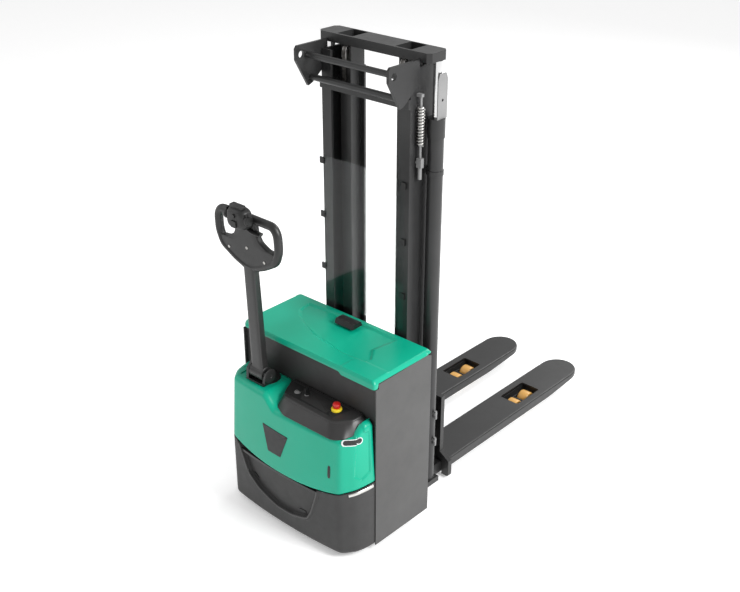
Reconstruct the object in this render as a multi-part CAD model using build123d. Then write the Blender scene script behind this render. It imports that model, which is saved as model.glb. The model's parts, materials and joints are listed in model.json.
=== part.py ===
"""Pedestrian electric pallet stacker: straddle legs under inverted-U forks, a two-stage mast
with side lift cylinders, an offset steering tiller and a battery body.

Millimetres, +Z up, forks along +Y, and the operator stands on the -Y side.  Sizes are written
from a datum on the floor under the mast-side edge of the side panels, and every piece is moved
once, when it is written, so that the origin is the middle of the footprint on the floor.
"""
from build123d import *
import os

# ---- overall sizes ----------------------------------------------------------------------
body_width = 790.0            # over the side panels
bumper_nose = 520.0           # front of the bumper, ahead of the datum
fork_length = 1152.0          # fork face to tip
mast_height = 2060.0          # top of the lowered mast
fork_spread = 570.0           # over the outer fork edges
floor_gap = 30.0              # under the body shells
panel_gap = 3.0               # shut line between two body shells
seat_gap = 0.3                # between pieces of two bodies that rest on each other
pin_play = 0.05               # radial play of a pin in its bore
shell_wall = 5.0

# ---- battery body -------------------------------------------------------------------------
panel_wall = 6.0
panel_front = 345.0           # side panel, from the datum to its front edge
lid_front = 357.0
lid_back = 2.0
lid_front_height = 848.0
lid_back_height = 852.0
lid_wall = 5.0
lid_lip = 16.0
fascia_foot = 810.0            # height of the deeper front edge's underside
fascia_depth = 24.0            # how far that edge runs back along the sides
lid_gap = 4.0                  # between the lid's edge and the side panels
lid_swing_room = 22.0          # length of the panels' top that drops away for the opening lid
lid_hinge_y = -8.0
lid_hinge_height = 828.0
lid_hinge_x = 250.0
lid_pin_radius = 4.0
latch_span = (-68.0, 40.0)
latch_reach = (-104.0, -42.0)
latch_rise = 20.0
wall_face = 331.0             # dark wall under the front of the lid
deck_height = 302.0
deck_wall = 12.0
bulkhead_wall = 12.0
battery_size = (730.0, 280.0, 430.0)

# ---- front shells -------------------------------------------------------------------------
nose_bow = 20.0               # how far the middle of the nose stands ahead of its corners
nose_half = 328.0             # half width where the nose meets the flank
flank_bulge = 16.0
nose_round = 50.0
smile_mid = 300.0             # height of the bumper's top edge in the middle
smile_side = 362.0            # and at the side panels
cowl_height = 650.0
cowl_lean = 22.0              # how far the cowl leans back over its height
cowl_round = 24.0
console_left = -92.0
console_right = 318.0
console_front = 478.0
console_height = 662.0
console_skirt = 604.0
console_fall = 16.0           # the console's top falls this much to the front
console_inset_span = (-62.0, 262.0)         # the black inset, left and right
console_inset_depth = 62.0
controls_y = -384.0           # stop button, key and lamp stand on this line
stop_x = 212.0
stop_stem_radius = 8.0
key_x = 40.0
key_radius = 9.0
lamp_x = -8.0

# ---- steering and tiller --------------------------------------------------------------------
steer_x = -200.0
steer_y = -395.0
drive_wheel_radius = 100.0
drive_wheel_width = 70.0
drive_axle_radius = 15.0
motor_radius = 58.0
motor_top = 560.0
spigot_radius = 48.0
turntable_radius = 62.0
tiller_pivot_y = -428.0
tiller_pivot_height = 695.0
tiller_lean = 2.3             # degrees towards the operator at rest
tiller_shaft = (70.0, 44.0)
tiller_tube_wall = 5.0
tiller_knuckle_radius = 34.0
tiller_pin_radius = 12.0
cheek_wall = 14.0
head_bottom = 1180.0
head_top = 1440.0
head_half = 194.0
head_depth = 34.0
hand_hole = (70.0, 150.0, 1300.0, 1386.0)   # from the centre line, and from the floor
pod_size = (112.0, 52.0, 92.0)
rocker_size = (30.0, 28.0)
horn_radius = 9.0
belly_size = (72.0, 22.0)
pod_middle = 1432.0
castor_x = 215.0
castor_y = -385.0
castor_radius = 70.0
castor_width = 44.0
castor_trail = 34.0
castor_pin_radius = 10.0

# ---- legs and load rollers ------------------------------------------------------------------
leg_middle = 191.0
leg_width = 130.0
leg_bottom = 24.0
leg_top = 82.0
leg_end = 1116.0
leg_wall = 15.0
roller_middle = 992.0
roller_radius = 41.0
roller_pitch = 2 * roller_radius + 22
roller_width = 54.0
roller_axle_radius = 8.0
bogie_pivot_height = 50.0
bogie_plate = 6.0

# ---- forks and carriage ---------------------------------------------------------------------
fork_face = 288.0
fork_width = 188.0
fork_top = 97.0
fork_bottom = 52.0
fork_wall = 8.0
fork_tip_round = 105.0
fork_tip_bottom = 76.0
fork_window = (108.0, 190.0)
fork_edge_round = 7.0
heel_wall = 24.0
heel_top = 430.0
heel_half = 249.0
heel_foot_half = 303.0
heel_shoulder = 134.0
heel_foot_top = 98.0
heel_foot = 14.0
carriage_plate = 14.0
carriage_roller_radius = 35.6
carriage_roller_heights = (175.0, 385.0)

# ---- mast -----------------------------------------------------------------------------------
outer_rail = (188.0, 240.0, 20.0, 160.0)    # inner and outer face, rear and front face
outer_rail_top = 2000.0
outer_flange = 12.0
rail_web = 10.0
inner_rail = (126.0, 183.0, 72.0, 164.0)
inner_rail_foot = 96.0
inner_rail_top = 1926.0
inner_flange = 10.0
inner_web = (151.0, 160.0)
mast_roller_height = 165.0
guide_roller_height = 1860.0
guide_roller_width = 18.0
stub_radius = 14.0
top_plate = (297.0, 60.0, 173.0, 38.0)      # half width, rear, front, thickness
top_plate_window = (113.0, 197.0, 70.0, 166.0)
pulley_x = 155.0
pulley_radius = 52.0
pulley_width = 20.0
pulley_height = 1980.0
pulley_pin_radius = 10.0
chain_width = 16.0
chain_depth = 8.0
chain_anchor_height = 1870.0
lift_stroke = 1400.0
cylinder_x = 283.0
cylinder_y = 128.0
cylinder_radius = 32.5
cylinder_bore = 27.0
cylinder_top = 1716.0
cylinder_head_radius = 36.0
cylinder_head_top = 1796.0
rod_radius = 17.5
rod_foot = 110.0
guard_top = 1976.0
hoist_wall = 12.0
hoist_hole_radius = 15.0
hoist_hole = (-92.0, 1996.0)
hoist_bars = ((-60.0, 1990.0), (-40.0, 1896.0))
hoist_bar_radius = 13.0
screen_side = (-248.0, 218.0)
screen_foot = 866.0
screen_top = 1551.0
screen_wall = 4.0
clip_heights = (1030.0, 1278.0, 1524.0)
line_place = (258.0, 62.0)
line_foot = 1551.0
line_top = 1900.0
tee_heights = (1600.0, 1640.0)
spring_heights = (1690.0, 1850.0)
port_heights = (300.0, 440.0)

# ---- worked out -----------------------------------------------------------------------------
half_body = body_width / 2
fork_tip = fork_face + fork_length
footprint_middle = (fork_tip - bumper_nose) / 2
fork_middle = (fork_spread - fork_width) / 2
inner_half = half_body - panel_wall
rail_middle_y = (inner_rail[2] + inner_rail[3]) / 2
outer_middle_y = (outer_rail[2] + outer_rail[3]) / 2
mast_roller_radius = (outer_rail[3] - outer_rail[2]) / 2 - outer_flange - seat_gap


# ---- shapes ---------------------------------------------------------------------------------
def block(x0, x1, y0, y1, z0, z1):
    """A square-edged block between its six faces."""
    return Pos((x0 + x1) / 2, (y0 + y1) / 2, (z0 + z1) / 2) * Box(x1 - x0, y1 - y0, z1 - z0)


def bar_x(x0, x1, y, z, radius):
    """A round bar along X."""
    return Pos((x0 + x1) / 2, y, z) * Rot(0, 90, 0) * Cylinder(radius, abs(x1 - x0))


def bar_y(x, y0, y1, z, radius):
    """A round bar along Y."""
    return Pos(x, (y0 + y1) / 2, z) * Rot(90, 0, 0) * Cylinder(radius, abs(y1 - y0))


def bar_z(x, y, z0, z1, radius):
    """A round bar along Z."""
    return Pos(x, y, (z0 + z1) / 2) * Cylinder(radius, abs(z1 - z0))


def plate_x(points, x0, x1):
    """A plate of the outline (y, z), from x0 to x1."""
    return extrude(make_face(Polyline(*[(x0, y, z) for y, z in points], close=True)),
                   amount=x1 - x0, dir=(1, 0, 0))


def plate_y(points, y0, y1):
    """A plate of the outline (x, z), from y0 to y1."""
    return extrude(make_face(Polyline(*[(x, y0, z) for x, z in points], close=True)),
                   amount=y1 - y0, dir=(0, 1, 0))


def plate_z(points, z0, z1):
    """A plate of the outline (x, y), from z0 to z1."""
    return extrude(make_face(Polyline(*[(x, y, z0) for x, y in points], close=True)),
                   amount=z1 - z0, dir=(0, 0, 1))


def other_side(shape):
    """The same shape on the other side of the truck's centre plane."""
    return mirror(shape, about=Plane.YZ)


def both_sides(shape):
    """A right-hand shape and its left-hand twin."""
    return [shape, other_side(shape)]


def fuse(shapes):
    """One solid of pieces that are welded or cast together."""
    result = shapes[0]
    for shape in shapes[1:]:
        result = result + shape
    return result


def write(name, *shapes):
    """Write one sub-part, moved from the datum to the middle of the footprint."""
    solids = [solid for shape in shapes for solid in shape.solids()]
    moved = [solid.moved(Location((0, -footprint_middle, 0))) for solid in solids]
    export_step(Compound(children=moved) if len(moved) > 1 else moved[0], f"parts/{name}.step")


# ---- front shells ---------------------------------------------------------------------------
def nose_plan(inset, height, back):
    """The front shells' plan: straight to the flank, a bulged flank, a corner and a bowed nose."""
    side = half_body - inset
    nose = -bumper_nose + nose_bow + inset
    half = nose_half - inset
    flank_mid = ((side + half) / 2 + flank_bulge, (-panel_front + nose) / 2 - flank_bulge / 2)
    right = [Line((side, back), (side, -panel_front)),
             ThreePointArc((side, -panel_front), flank_mid, (half, nose))]
    bow = ThreePointArc((half, nose), (0, nose - nose_bow), (-half, nose))
    left = [ThreePointArc((-half, nose), (-flank_mid[0], flank_mid[1]), (-side, -panel_front)),
            Line((-side, -panel_front), (-side, back))]
    outline = right + [bow] + left + [Line((-side, back), (side, back))]
    face = make_face(outline)
    corners = [v for v in face.vertices() if abs(v.Y - nose) < 1]
    return Pos(0, 0, height) * fillet(corners, nose_round - inset / 2)


def above_smile(lift):
    """Everything above the curved joint between bumper and cowl, raised by a gap."""
    side = half_body + 20
    curve = Spline((-side, 0, smile_side + 12 + lift), (-0.55 * half_body, 0, smile_mid + 10 + lift),
                   (0, 0, smile_mid + lift), (0.55 * half_body, 0, smile_mid + 10 + lift),
                   (side, 0, smile_side + 12 + lift))
    top = 1200
    rim = Polyline((side, 0, smile_side + 12 + lift), (side, 0, top), (-side, 0, top),
                   (-side, 0, smile_side + 12 + lift))
    return extrude(Pos(0, 100, 0) * make_face([curve, *rim.edges()]), amount=800, dir=(0, -1, 0))


def make_bumper():
    outer = extrude(nose_plan(0, floor_gap, -panel_front + 1), amount=420, dir=(0, 0, 1))
    inner = extrude(nose_plan(shell_wall, floor_gap - 1, -panel_front + 40), amount=430, dir=(0, 0, 1))
    ahead = block(-half_body, half_body, -bumper_nose - 1, -panel_front - panel_gap, 0, 1000)
    return (outer - inner - above_smile(0)) & ahead


def make_cowl():
    back = -wall_face - seat_gap

    def body(inset, low, high):
        foot = nose_plan(1 + inset, low, back + (60 if inset else 0))
        top = nose_plan(cowl_lean + inset, high, back + (60 if inset else 0))
        shape = loft([foot, top])
        rim = shape.faces().sort_by(Axis.Z)[-1].edges().filter_by(
            lambda edge: edge.center().Y < -panel_front)
        return fillet(rim, cowl_round - inset)
    shell = body(0, smile_mid - 20, cowl_height)
    shell = shell - body(shell_wall, smile_mid - 21, cowl_height - shell_wall)
    trunk = block(-2 * half_body, 2 * half_body, back - 1, 200, 0, 1000)
    shell = (shell - trunk) & above_smile(panel_gap)
    sides = block(-inner_half + panel_gap, inner_half - panel_gap, -bumper_nose - 10, back, 0, 1000)
    flank = block(-half_body, half_body, -bumper_nose - 10, -panel_front - panel_gap, 0, 1000)
    shell = shell & fuse([sides, flank])
    turret = bar_z(steer_x, steer_y, cowl_height - 40, cowl_height + 40,
                   turntable_radius + panel_gap)
    return shell - turret - console_block(panel_gap, 40)


def console_block(grow, deeper):
    """The console's body: a raised pod with a top that falls to the front."""
    low = console_skirt - grow - deeper
    back = -wall_face
    outline = [(console_left - grow, back), (console_right + grow, back),
               (console_right - 30 + grow, -console_front + 30 - grow),
               (console_right - 80, -console_front - grow), (console_left + 50, -console_front - grow),
               (console_left - grow, -console_front + 60)]
    pod = plate_z(outline, low, console_height + grow)
    fall = plate_x([(-wall_face, console_height + grow), (-wall_face - 40, console_height + grow),
                    (-bumper_nose, console_height - console_fall + grow - 10),
                    (-bumper_nose, console_height + 60), (-wall_face, console_height + 60)],
                   -half_body, half_body)
    return pod - fall if not grow else pod


def console_inset(shrink):
    """The black inset in the console's top."""
    left, right = console_inset_span
    back = -wall_face - 22
    return block(left + shrink, right - shrink, back - console_inset_depth + shrink, back - shrink,
                 console_height - 16, console_height + 30)


def make_console():
    shell = console_block(0, 0) - console_inset(0)
    shell = shell - bar_z(stop_x, controls_y, 500, 800, stop_stem_radius + 2)
    return shell - bar_z(key_x, controls_y, 500, 800, key_radius + 2)


def make_console_panel():
    panel = console_inset(seat_gap) & block(-half_body, half_body, -bumper_nose, 0, 0,
                                            console_height - 3)
    lamp = bar_z(lamp_x, controls_y, console_height - 3, console_height + 1, 9)
    collar = bar_z(stop_x, controls_y, console_height - 3, console_height + 3, 23)
    panel = panel + lamp + collar - bar_z(stop_x, controls_y, 500, 800, stop_stem_radius + pin_play)
    return panel - bar_z(key_x, controls_y, 500, 800, key_radius + pin_play)


def make_stop_button():
    stem = bar_z(stop_x, controls_y, console_height - 22, console_height + 12, stop_stem_radius)
    head = bar_z(stop_x, controls_y, console_height + 12, console_height + 28, 19)
    return fillet((stem + head).edges().sort_by(Axis.Z)[-1:], 6)


def make_key_switch():
    barrel = bar_z(key_x, controls_y, console_height - 22, console_height + 4, key_radius)
    bow = block(key_x - 2, key_x + 2, controls_y - 11, controls_y + 11,
                console_height + 3, console_height + 26)
    return barrel + bow


# ---- battery body ---------------------------------------------------------------------------
def lid_height(y):
    """Height of the lid's top surface at a place along Y."""
    share = (y + lid_front) / (lid_front + lid_back)
    return lid_front_height + share * (lid_back_height - lid_front_height)


def make_base_frame():
    deck = extrude(nose_plan(shell_wall, deck_height - deck_wall, -bulkhead_wall),
                   amount=deck_wall, dir=(0, 0, 1))
    deck = deck & fuse([block(-inner_half, inner_half, -panel_front - panel_gap, 0, 0, 1000),
                        block(-half_body, half_body, -bumper_nose, -panel_front - panel_gap, 0, 1000)])
    deck = deck - bar_z(steer_x, steer_y, 0, 500, spigot_radius + pin_play)
    deck = deck - bar_z(castor_x, castor_y, 0, 500, castor_pin_radius + 4 + pin_play)
    bulkhead = block(-inner_half, inner_half, -bulkhead_wall, 0, 60, lid_hinge_height - 24)
    ribs = [block(x - 6, x + 6, -260, -bulkhead_wall, 110, deck_height - deck_wall)
            for x in (-330.0, 0.0, 330.0)]
    tray = [block(x - 5, x + 5, -wall_face + 18, -bulkhead_wall, deck_height, deck_height + 90)
            for x in (-inner_half + 5, inner_half - 5)]
    posts = [block(x - 12, x + 12, -wall_face + shell_wall, -wall_face + 18, deck_height,
                   fascia_foot + 14) for x in (-inner_half + 12, inner_half - 12)]
    hinges = (-lid_hinge_x, lid_hinge_x)
    lugs = [block(x - 20, x + 20, lid_hinge_y - 4, 0, lid_hinge_height - 26, lid_hinge_height)
            for x in hinges]
    pins = [bar_x(x - 40, x + 40, lid_hinge_y, lid_hinge_height, lid_pin_radius) for x in hinges]
    return fuse([deck, bulkhead, *ribs, *tray, *posts, *lugs, *pins])


def make_side_panel():
    step = -lid_front + fascia_depth + lid_gap
    swing = -lid_swing_room
    drop = lid_lip + lid_gap
    outline = [(0, floor_gap), (-panel_front, floor_gap),
               (-panel_front, fascia_foot - lid_gap), (step, fascia_foot - lid_gap),
               (step, lid_height(step) - drop), (swing, lid_height(swing) - drop),
               (0, lid_height(0) - drop - lid_swing_room / 2)]
    return plate_x(outline, inner_half, half_body)


def make_front_wall():
    face = block(-inner_half, inner_half, -wall_face, -wall_face + shell_wall,
                 deck_height, fascia_foot + 12)
    return face


def make_lid():
    drop = lid_lip
    step = -lid_front + fascia_depth
    outer = plate_x([(lid_back, lid_height(lid_back)), (-lid_front, lid_front_height),
                     (-lid_front, fascia_foot), (step, fascia_foot), (step, lid_height(step) - drop),
                     (lid_back, lid_height(lid_back) - drop)],
                    -half_body, half_body)
    outer = fillet(outer.edges().filter_by(Axis.X).sort_by(Axis.Z)[-2:], 3)
    inset = lid_wall
    inner = plate_x([(lid_back - inset, lid_height(lid_back) - inset),
                     (-lid_front + inset, lid_front_height - inset),
                     (-lid_front + inset, fascia_foot - 30),
                     (lid_back - inset, lid_height(lid_back) - drop - 30)],
                    -half_body + inset, half_body - inset)
    shell = outer - inner
    ear = block(24, 36, lid_hinge_y - 7, lid_back - 1, lid_hinge_height - 7, lid_back_height - 4)
    for x in (-lid_hinge_x, lid_hinge_x):
        shell = fuse([shell, *[Pos(x, 0, 0) * side for side in both_sides(ear)]])
        shell = shell - bar_x(x - 41, x + 41, lid_hinge_y, lid_hinge_height,
                              lid_pin_radius + pin_play)
    return shell


def make_lid_latch():
    front, back = latch_reach
    top = lid_height(back) + latch_rise
    body = plate_x([(front, lid_height(front)), (back, lid_height(back)), (back - 6, top),
                    (front + 10, top)], *latch_span)
    return fillet(body.edges().filter_by(Axis.X).sort_by(Axis.Z)[-2:], 5)


def make_battery():
    wide, deep, tall = battery_size
    low = deck_height
    back = -bulkhead_wall - 8
    case = block(-wide / 2, wide / 2, back - deep, back, low, low + tall)
    lugs = [bar_z(x, back - deep / 2, low + tall, low + tall + 14, 12) for x in (-300.0, 300.0)]
    return fuse([case, *lugs])


# ---- power and control under the cowl --------------------------------------------------------
def make_power_pack():
    x, y = 20.0, -392.0
    motor = bar_z(x, y, deck_height, deck_height + 150, 52)
    pump = block(x - 45, x + 45, y - 45, y + 45, deck_height + 150, deck_height + 200)
    tank = block(x + 60, x + 165, y - 60, y + 52, deck_height, deck_height + 210)
    bridge = block(x + 40, x + 62, y - 20, y + 20, deck_height + 160, deck_height + 190)
    return fuse([motor, pump, tank, bridge])


def make_controller():
    case = block(238, 330, -440, -wall_face - 8, deck_height, deck_height + 150)
    fins = [block(238 + 12 * i, 242 + 12 * i, -440, -wall_face - 8, deck_height + 150,
                  deck_height + 168) for i in range(8)]
    return fuse([case, *fins])


# ---- drive and steering ----------------------------------------------------------------------
def make_gearbox():
    head = block(steer_x - 62, steer_x + 78, steer_y - 46, steer_y + 46,
                 2 * drive_wheel_radius + 12, deck_height - deck_wall - 2)
    arm_in = steer_x + drive_wheel_width / 2 + 6
    arm = block(arm_in, arm_in + 34, steer_y - 34, steer_y + 34, drive_wheel_radius - 34,
                2 * drive_wheel_radius + 14)
    axle = bar_x(steer_x - drive_wheel_width / 2 - 6, arm_in + 1, steer_y, drive_wheel_radius,
                 drive_axle_radius)
    nut = bar_x(steer_x - drive_wheel_width / 2 - 16, steer_x - drive_wheel_width / 2 - 4, steer_y,
                drive_wheel_radius, drive_axle_radius + 7)
    spigot = bar_z(steer_x, steer_y, deck_height - deck_wall - 4, deck_height + 1, spigot_radius)
    flange = bar_z(steer_x, steer_y, deck_height + seat_gap, deck_height + 12, spigot_radius + 11)
    return fuse([head, arm, axle, nut, spigot, flange])


def make_drive_motor():
    can = bar_z(steer_x, steer_y, deck_height + 12, motor_top - 30, motor_radius)
    cap = bar_z(steer_x, steer_y, motor_top - 30, motor_top, motor_radius - 10)
    return can + cap


def make_steering_bracket():
    column = bar_z(steer_x, steer_y, motor_top, cowl_height - 12, 30)
    table = bar_z(steer_x, steer_y, cowl_height - 12, cowl_height + 3, turntable_radius)
    half = tiller_shaft[0] / 2 + 6
    tongue = block(steer_x - half - cheek_wall, steer_x + half + cheek_wall, tiller_pivot_y - 34,
                   steer_y + 14, cowl_height + 2, cowl_height + 10)
    cheek = plate_x([(tiller_pivot_y - 34, cowl_height + 3), (steer_y + 14, cowl_height + 3),
                     (steer_y + 8, tiller_pivot_height + 46), (tiller_pivot_y + 8, tiller_pivot_height + 50),
                     (tiller_pivot_y - 30, tiller_pivot_height + 12)],
                    steer_x - half - cheek_wall, steer_x - half)
    low_cheek = plate_x([(tiller_pivot_y - 30, cowl_height + 3), (steer_y + 14, cowl_height + 3),
                         (tiller_pivot_y + 26, tiller_pivot_height + 16),
                         (tiller_pivot_y - 20, tiller_pivot_height + 16)],
                        steer_x + half, steer_x + half + cheek_wall)
    pin = bar_x(steer_x - half - 2, steer_x + half + 2, tiller_pivot_y, tiller_pivot_height,
                tiller_pin_radius)
    return fuse([column, table, tongue, cheek, low_cheek, pin])


def make_drive_wheel():
    tyre = bar_x(steer_x - drive_wheel_width / 2, steer_x + drive_wheel_width / 2, steer_y,
                 drive_wheel_radius, drive_wheel_radius)
    tyre = fillet(tyre.edges().filter_by(GeomType.CIRCLE), 8)
    hollow = bar_x(steer_x - drive_wheel_width / 2 - 1, steer_x - drive_wheel_width / 2 + 16,
                   steer_y, drive_wheel_radius, drive_wheel_radius - 34)
    bore = bar_x(steer_x - 100, steer_x + 100, steer_y, drive_wheel_radius,
                 drive_axle_radius + pin_play)
    hub = bar_x(steer_x - drive_wheel_width / 2 + 1, steer_x, steer_y, drive_wheel_radius, 30)
    return tyre - hollow + hub - bore


def lean(shape):
    """Tip a tiller piece from upright to its resting lean."""
    turn = Pos(0, tiller_pivot_y, tiller_pivot_height) * Rot(tiller_lean, 0, 0)
    return turn * Pos(0, -tiller_pivot_y, -tiller_pivot_height) * shape


def make_tiller_shaft():
    wide, deep = tiller_shaft
    y = tiller_pivot_y
    beam = block(steer_x - wide / 2, steer_x + wide / 2, y - deep / 2, y + deep / 2,
                 tiller_pivot_height, head_bottom)
    beam = fillet(beam.edges().filter_by(Axis.Z), 8)
    hollow = block(steer_x - wide / 2 + tiller_tube_wall, steer_x + wide / 2 - tiller_tube_wall,
                   y - deep / 2 + tiller_tube_wall, y + deep / 2 - tiller_tube_wall,
                   tiller_pivot_height + 40, head_bottom - 8)
    knuckle = bar_x(steer_x - wide / 2 - 5, steer_x + wide / 2 + 5, y, tiller_pivot_height,
                    tiller_knuckle_radius)
    bore = bar_x(steer_x - 60, steer_x + 60, y, tiller_pivot_height, tiller_pin_radius + pin_play)
    return lean(beam - hollow + knuckle - bore)


def head_outline():
    """Right half of the tiller head's outline, from the neck round to the top."""
    return [(40, head_bottom), (128, head_bottom + 38), (178, head_bottom + 84),
            (head_half, head_bottom + 140), (head_half, head_top - 62), (head_half - 22, head_top - 22),
            (130, head_top - 2), (60, head_top)]


def make_tiller_head():
    y = tiller_pivot_y
    right = head_outline()
    outline = [(steer_x + x, z) for x, z in right] + [(steer_x - x, z) for x, z in reversed(right)]
    plate = plate_y(outline, y - head_depth / 2, y + head_depth / 2)
    plate = fillet(plate.edges().filter_by(Axis.Y), 14)
    left, far, low, high = hand_hole
    for side in (-1, 1):
        corners = [(left, high), (far, high), (far, low + 24), (far - 34, low), (left, low + 14)]
        hole = plate_y([(steer_x + side * x, z) for x, z in corners], y - 60, y + 60)
        plate = plate - fillet(hole.edges().filter_by(Axis.Y), 10)
    return lean(plate)


def pod_face():
    """The pod's face towards the operator, before the lean."""
    return tiller_pivot_y - head_depth / 2 - pod_size[1]


def pod_centre():
    """The middle of the pod's depth, before the lean."""
    return tiller_pivot_y - head_depth / 2 - pod_size[1] / 2


def make_control_pod():
    wide, deep, tall = pod_size
    y = pod_face()
    top = pod_middle + tall / 2
    pod = block(steer_x - wide / 2, steer_x + wide / 2, y, y + deep, pod_middle - tall / 2, top)
    pod = fillet(pod.edges().filter_by(Axis.Y), 20)
    play = 1.0
    rocker_wide, rocker_tall = rocker_size
    pocket = block(steer_x - rocker_wide / 2 - play, steer_x + rocker_wide / 2 + play, y - 1, y + 9,
                   rocker_height() - rocker_tall / 2 - play, rocker_height() + rocker_tall / 2 + play)
    horn = bar_y(steer_x, y - 1, y + 10, horn_height(), horn_radius + seat_gap)
    wide, deep = belly_size
    slot = block(steer_x - wide / 2 - seat_gap, steer_x + wide / 2 + seat_gap,
                 pod_centre() - deep / 2 - seat_gap, pod_centre() + deep / 2 + seat_gap,
                 top - 10, top + 1)
    return lean(pod - pocket - horn - slot)


def rocker_height():
    return pod_middle - 18


def horn_height():
    return pod_middle + 16


def make_travel_levers():
    y = pod_centre()
    half = pod_size[0] / 2 + seat_gap
    lever = block(half, half + 9, y - 11, y + 11, pod_middle - 6, pod_middle + 34)
    lever = lever + block(half, half + 26, y - 8, y + 8, pod_middle + 26, pod_middle + 34)
    return [lean(Pos(steer_x, 0, 0) * s) for s in both_sides(lever)]


def make_lift_rocker():
    y = pod_face()
    wide, tall = rocker_size
    rocker = block(steer_x - wide / 2, steer_x + wide / 2, y - 6, y + 3,
                   rocker_height() - tall / 2, rocker_height() + tall / 2)
    return lean(fillet(rocker.edges().filter_by(Axis.Y), 4))


def make_horn_button():
    y = pod_face()
    return lean(bar_y(steer_x, y - 5, y + 6, horn_height(), horn_radius))


def make_belly_button():
    top = pod_middle + pod_size[2] / 2
    wide, deep = belly_size
    cap = block(steer_x - wide / 2, steer_x + wide / 2, pod_centre() - deep / 2,
                pod_centre() + deep / 2, top - 4, top + 12)
    return lean(fillet(cap.edges().filter_by(Axis.Y), 5))


# ---- castor -----------------------------------------------------------------------------------
def make_castor_fork():
    top = deck_height - deck_wall
    y = castor_y + castor_trail
    plate = bar_z(castor_x, castor_y, top - 16, top - seat_gap, 46)
    king = bar_z(castor_x, castor_y, top - 2, deck_height + 6, castor_pin_radius + 4)
    half = castor_width / 2 + 4
    arm = plate_x([(castor_y - 30, top - 16), (castor_y + 42, top - 16), (y + 20, castor_radius - 14),
                   (y - 20, castor_radius - 14)], half, half + 7)
    arms = [Pos(castor_x, 0, 0) * s for s in both_sides(arm)]
    cross = block(castor_x - half - 7, castor_x + half + 7, castor_y - 30, castor_y + 42,
                  top - 30, top - 14)
    axle = bar_x(castor_x - half - 12, castor_x + half + 12, y, castor_radius, castor_pin_radius)
    return fuse([plate, king, *arms, cross, axle])


def make_castor_wheel():
    y = castor_y + castor_trail
    wheel = bar_x(castor_x - castor_width / 2, castor_x + castor_width / 2, y, castor_radius,
                  castor_radius)
    wheel = fillet(wheel.edges().filter_by(GeomType.CIRCLE), 8)
    return wheel - bar_x(castor_x - 60, castor_x + 60, y, castor_radius,
                         castor_pin_radius + pin_play)


# ---- legs and load rollers -----------------------------------------------------------------
def make_leg():
    left = leg_middle - leg_width / 2
    right = leg_middle + leg_width / 2
    beam = block(left, right, 0, leg_end, leg_bottom, leg_top)
    beam = fillet(beam.edges().filter_by(Axis.Z).sort_by(Axis.Y)[-2:], 20)
    room = roller_pitch / 2 + roller_radius + 10
    pocket = block(left + leg_wall, right - leg_wall, roller_middle - room, roller_middle + room,
                   0, 200)
    pivot = bar_x(left + 2, right - 2, roller_middle, bogie_pivot_height, roller_axle_radius)
    foot = block(right, cylinder_x + cylinder_radius + 6, cylinder_y - 40, cylinder_y + 40,
                 leg_top - 26, leg_top)
    return fuse([beam - pocket, pivot, foot])


def make_bogie():
    half = roller_width / 2 + 3
    reach = roller_pitch / 2
    plate = plate_x([(roller_middle - reach - 17, roller_radius - 12),
                     (roller_middle + reach + 17, roller_radius - 12),
                     (roller_middle + reach + 17, roller_radius + 12),
                     (roller_middle + 20, bogie_pivot_height + 15),
                     (roller_middle - 20, bogie_pivot_height + 15),
                     (roller_middle - reach - 17, roller_radius + 12)], half, half + bogie_plate)
    plates = [Pos(leg_middle, 0, 0) * s for s in both_sides(plate)]
    hub = bar_x(leg_middle - half - 2, leg_middle + half + 2, roller_middle, bogie_pivot_height,
                roller_axle_radius + 3)
    axles = [bar_x(leg_middle - half - bogie_plate, leg_middle + half + bogie_plate,
                   roller_middle + s * reach, roller_radius, roller_axle_radius) for s in (-1, 1)]
    body = fuse([*plates, hub, *axles])
    return body - bar_x(0, 400, roller_middle, bogie_pivot_height, roller_axle_radius + pin_play)


def make_load_roller(step):
    y = roller_middle + step * roller_pitch / 2
    tread = bar_x(leg_middle - roller_width / 2, leg_middle + roller_width / 2, y, roller_radius,
                  roller_radius)
    tread = fillet(tread.edges().filter_by(GeomType.CIRCLE), 5)
    return tread - bar_x(0, 400, y, roller_radius, roller_axle_radius + pin_play)


# ---- forks and carriage --------------------------------------------------------------------
def fork_plan(inset, height):
    """A fork's plan: straight sides and a half-elliptic tip."""
    half = fork_width / 2 - inset
    shoulder = fork_tip - fork_tip_round
    reach = fork_tip_round - inset
    sides = Polyline((-half, shoulder), (-half, fork_face), (half, fork_face), (half, shoulder))
    tip = EllipticalCenterArc((0, shoulder), half, reach, start_angle=0, arc_size=180)
    return Pos(fork_middle, 0, height) * make_face([*sides.edges(), tip])


def make_fork():
    bar = extrude(fork_plan(0, fork_bottom), amount=fork_top - fork_bottom, dir=(0, 0, 1))
    bar = fillet(bar.faces().sort_by(Axis.Z)[-1].edges().filter_by(
        lambda edge: edge.center().Y > fork_face + 1), fork_edge_round)
    ramp = plate_x([(fork_tip - 330, fork_bottom - 1), (fork_tip + 1, fork_tip_bottom),
                    (fork_tip + 1, 0), (fork_tip - 330, 0)], 0, 400)
    hollow = extrude(fork_plan(fork_wall, 0), amount=fork_top - fork_wall, dir=(0, 0, 1))
    hollow = hollow & block(0, 400, fork_face + 10, fork_tip, 0, 300)
    wide, long = fork_window
    window = block(fork_middle - wide / 2, fork_middle + wide / 2, roller_middle - long / 2,
                   roller_middle + long / 2, 60, 200)
    window = fillet(window.edges().filter_by(Axis.Z), 10)
    slot = block(leg_middle - leg_width / 2 - 6, leg_middle + leg_width / 2 + 6, 0, fork_face + 40,
                 0, leg_top + 6)
    return bar - ramp - hollow - window - slot


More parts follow.
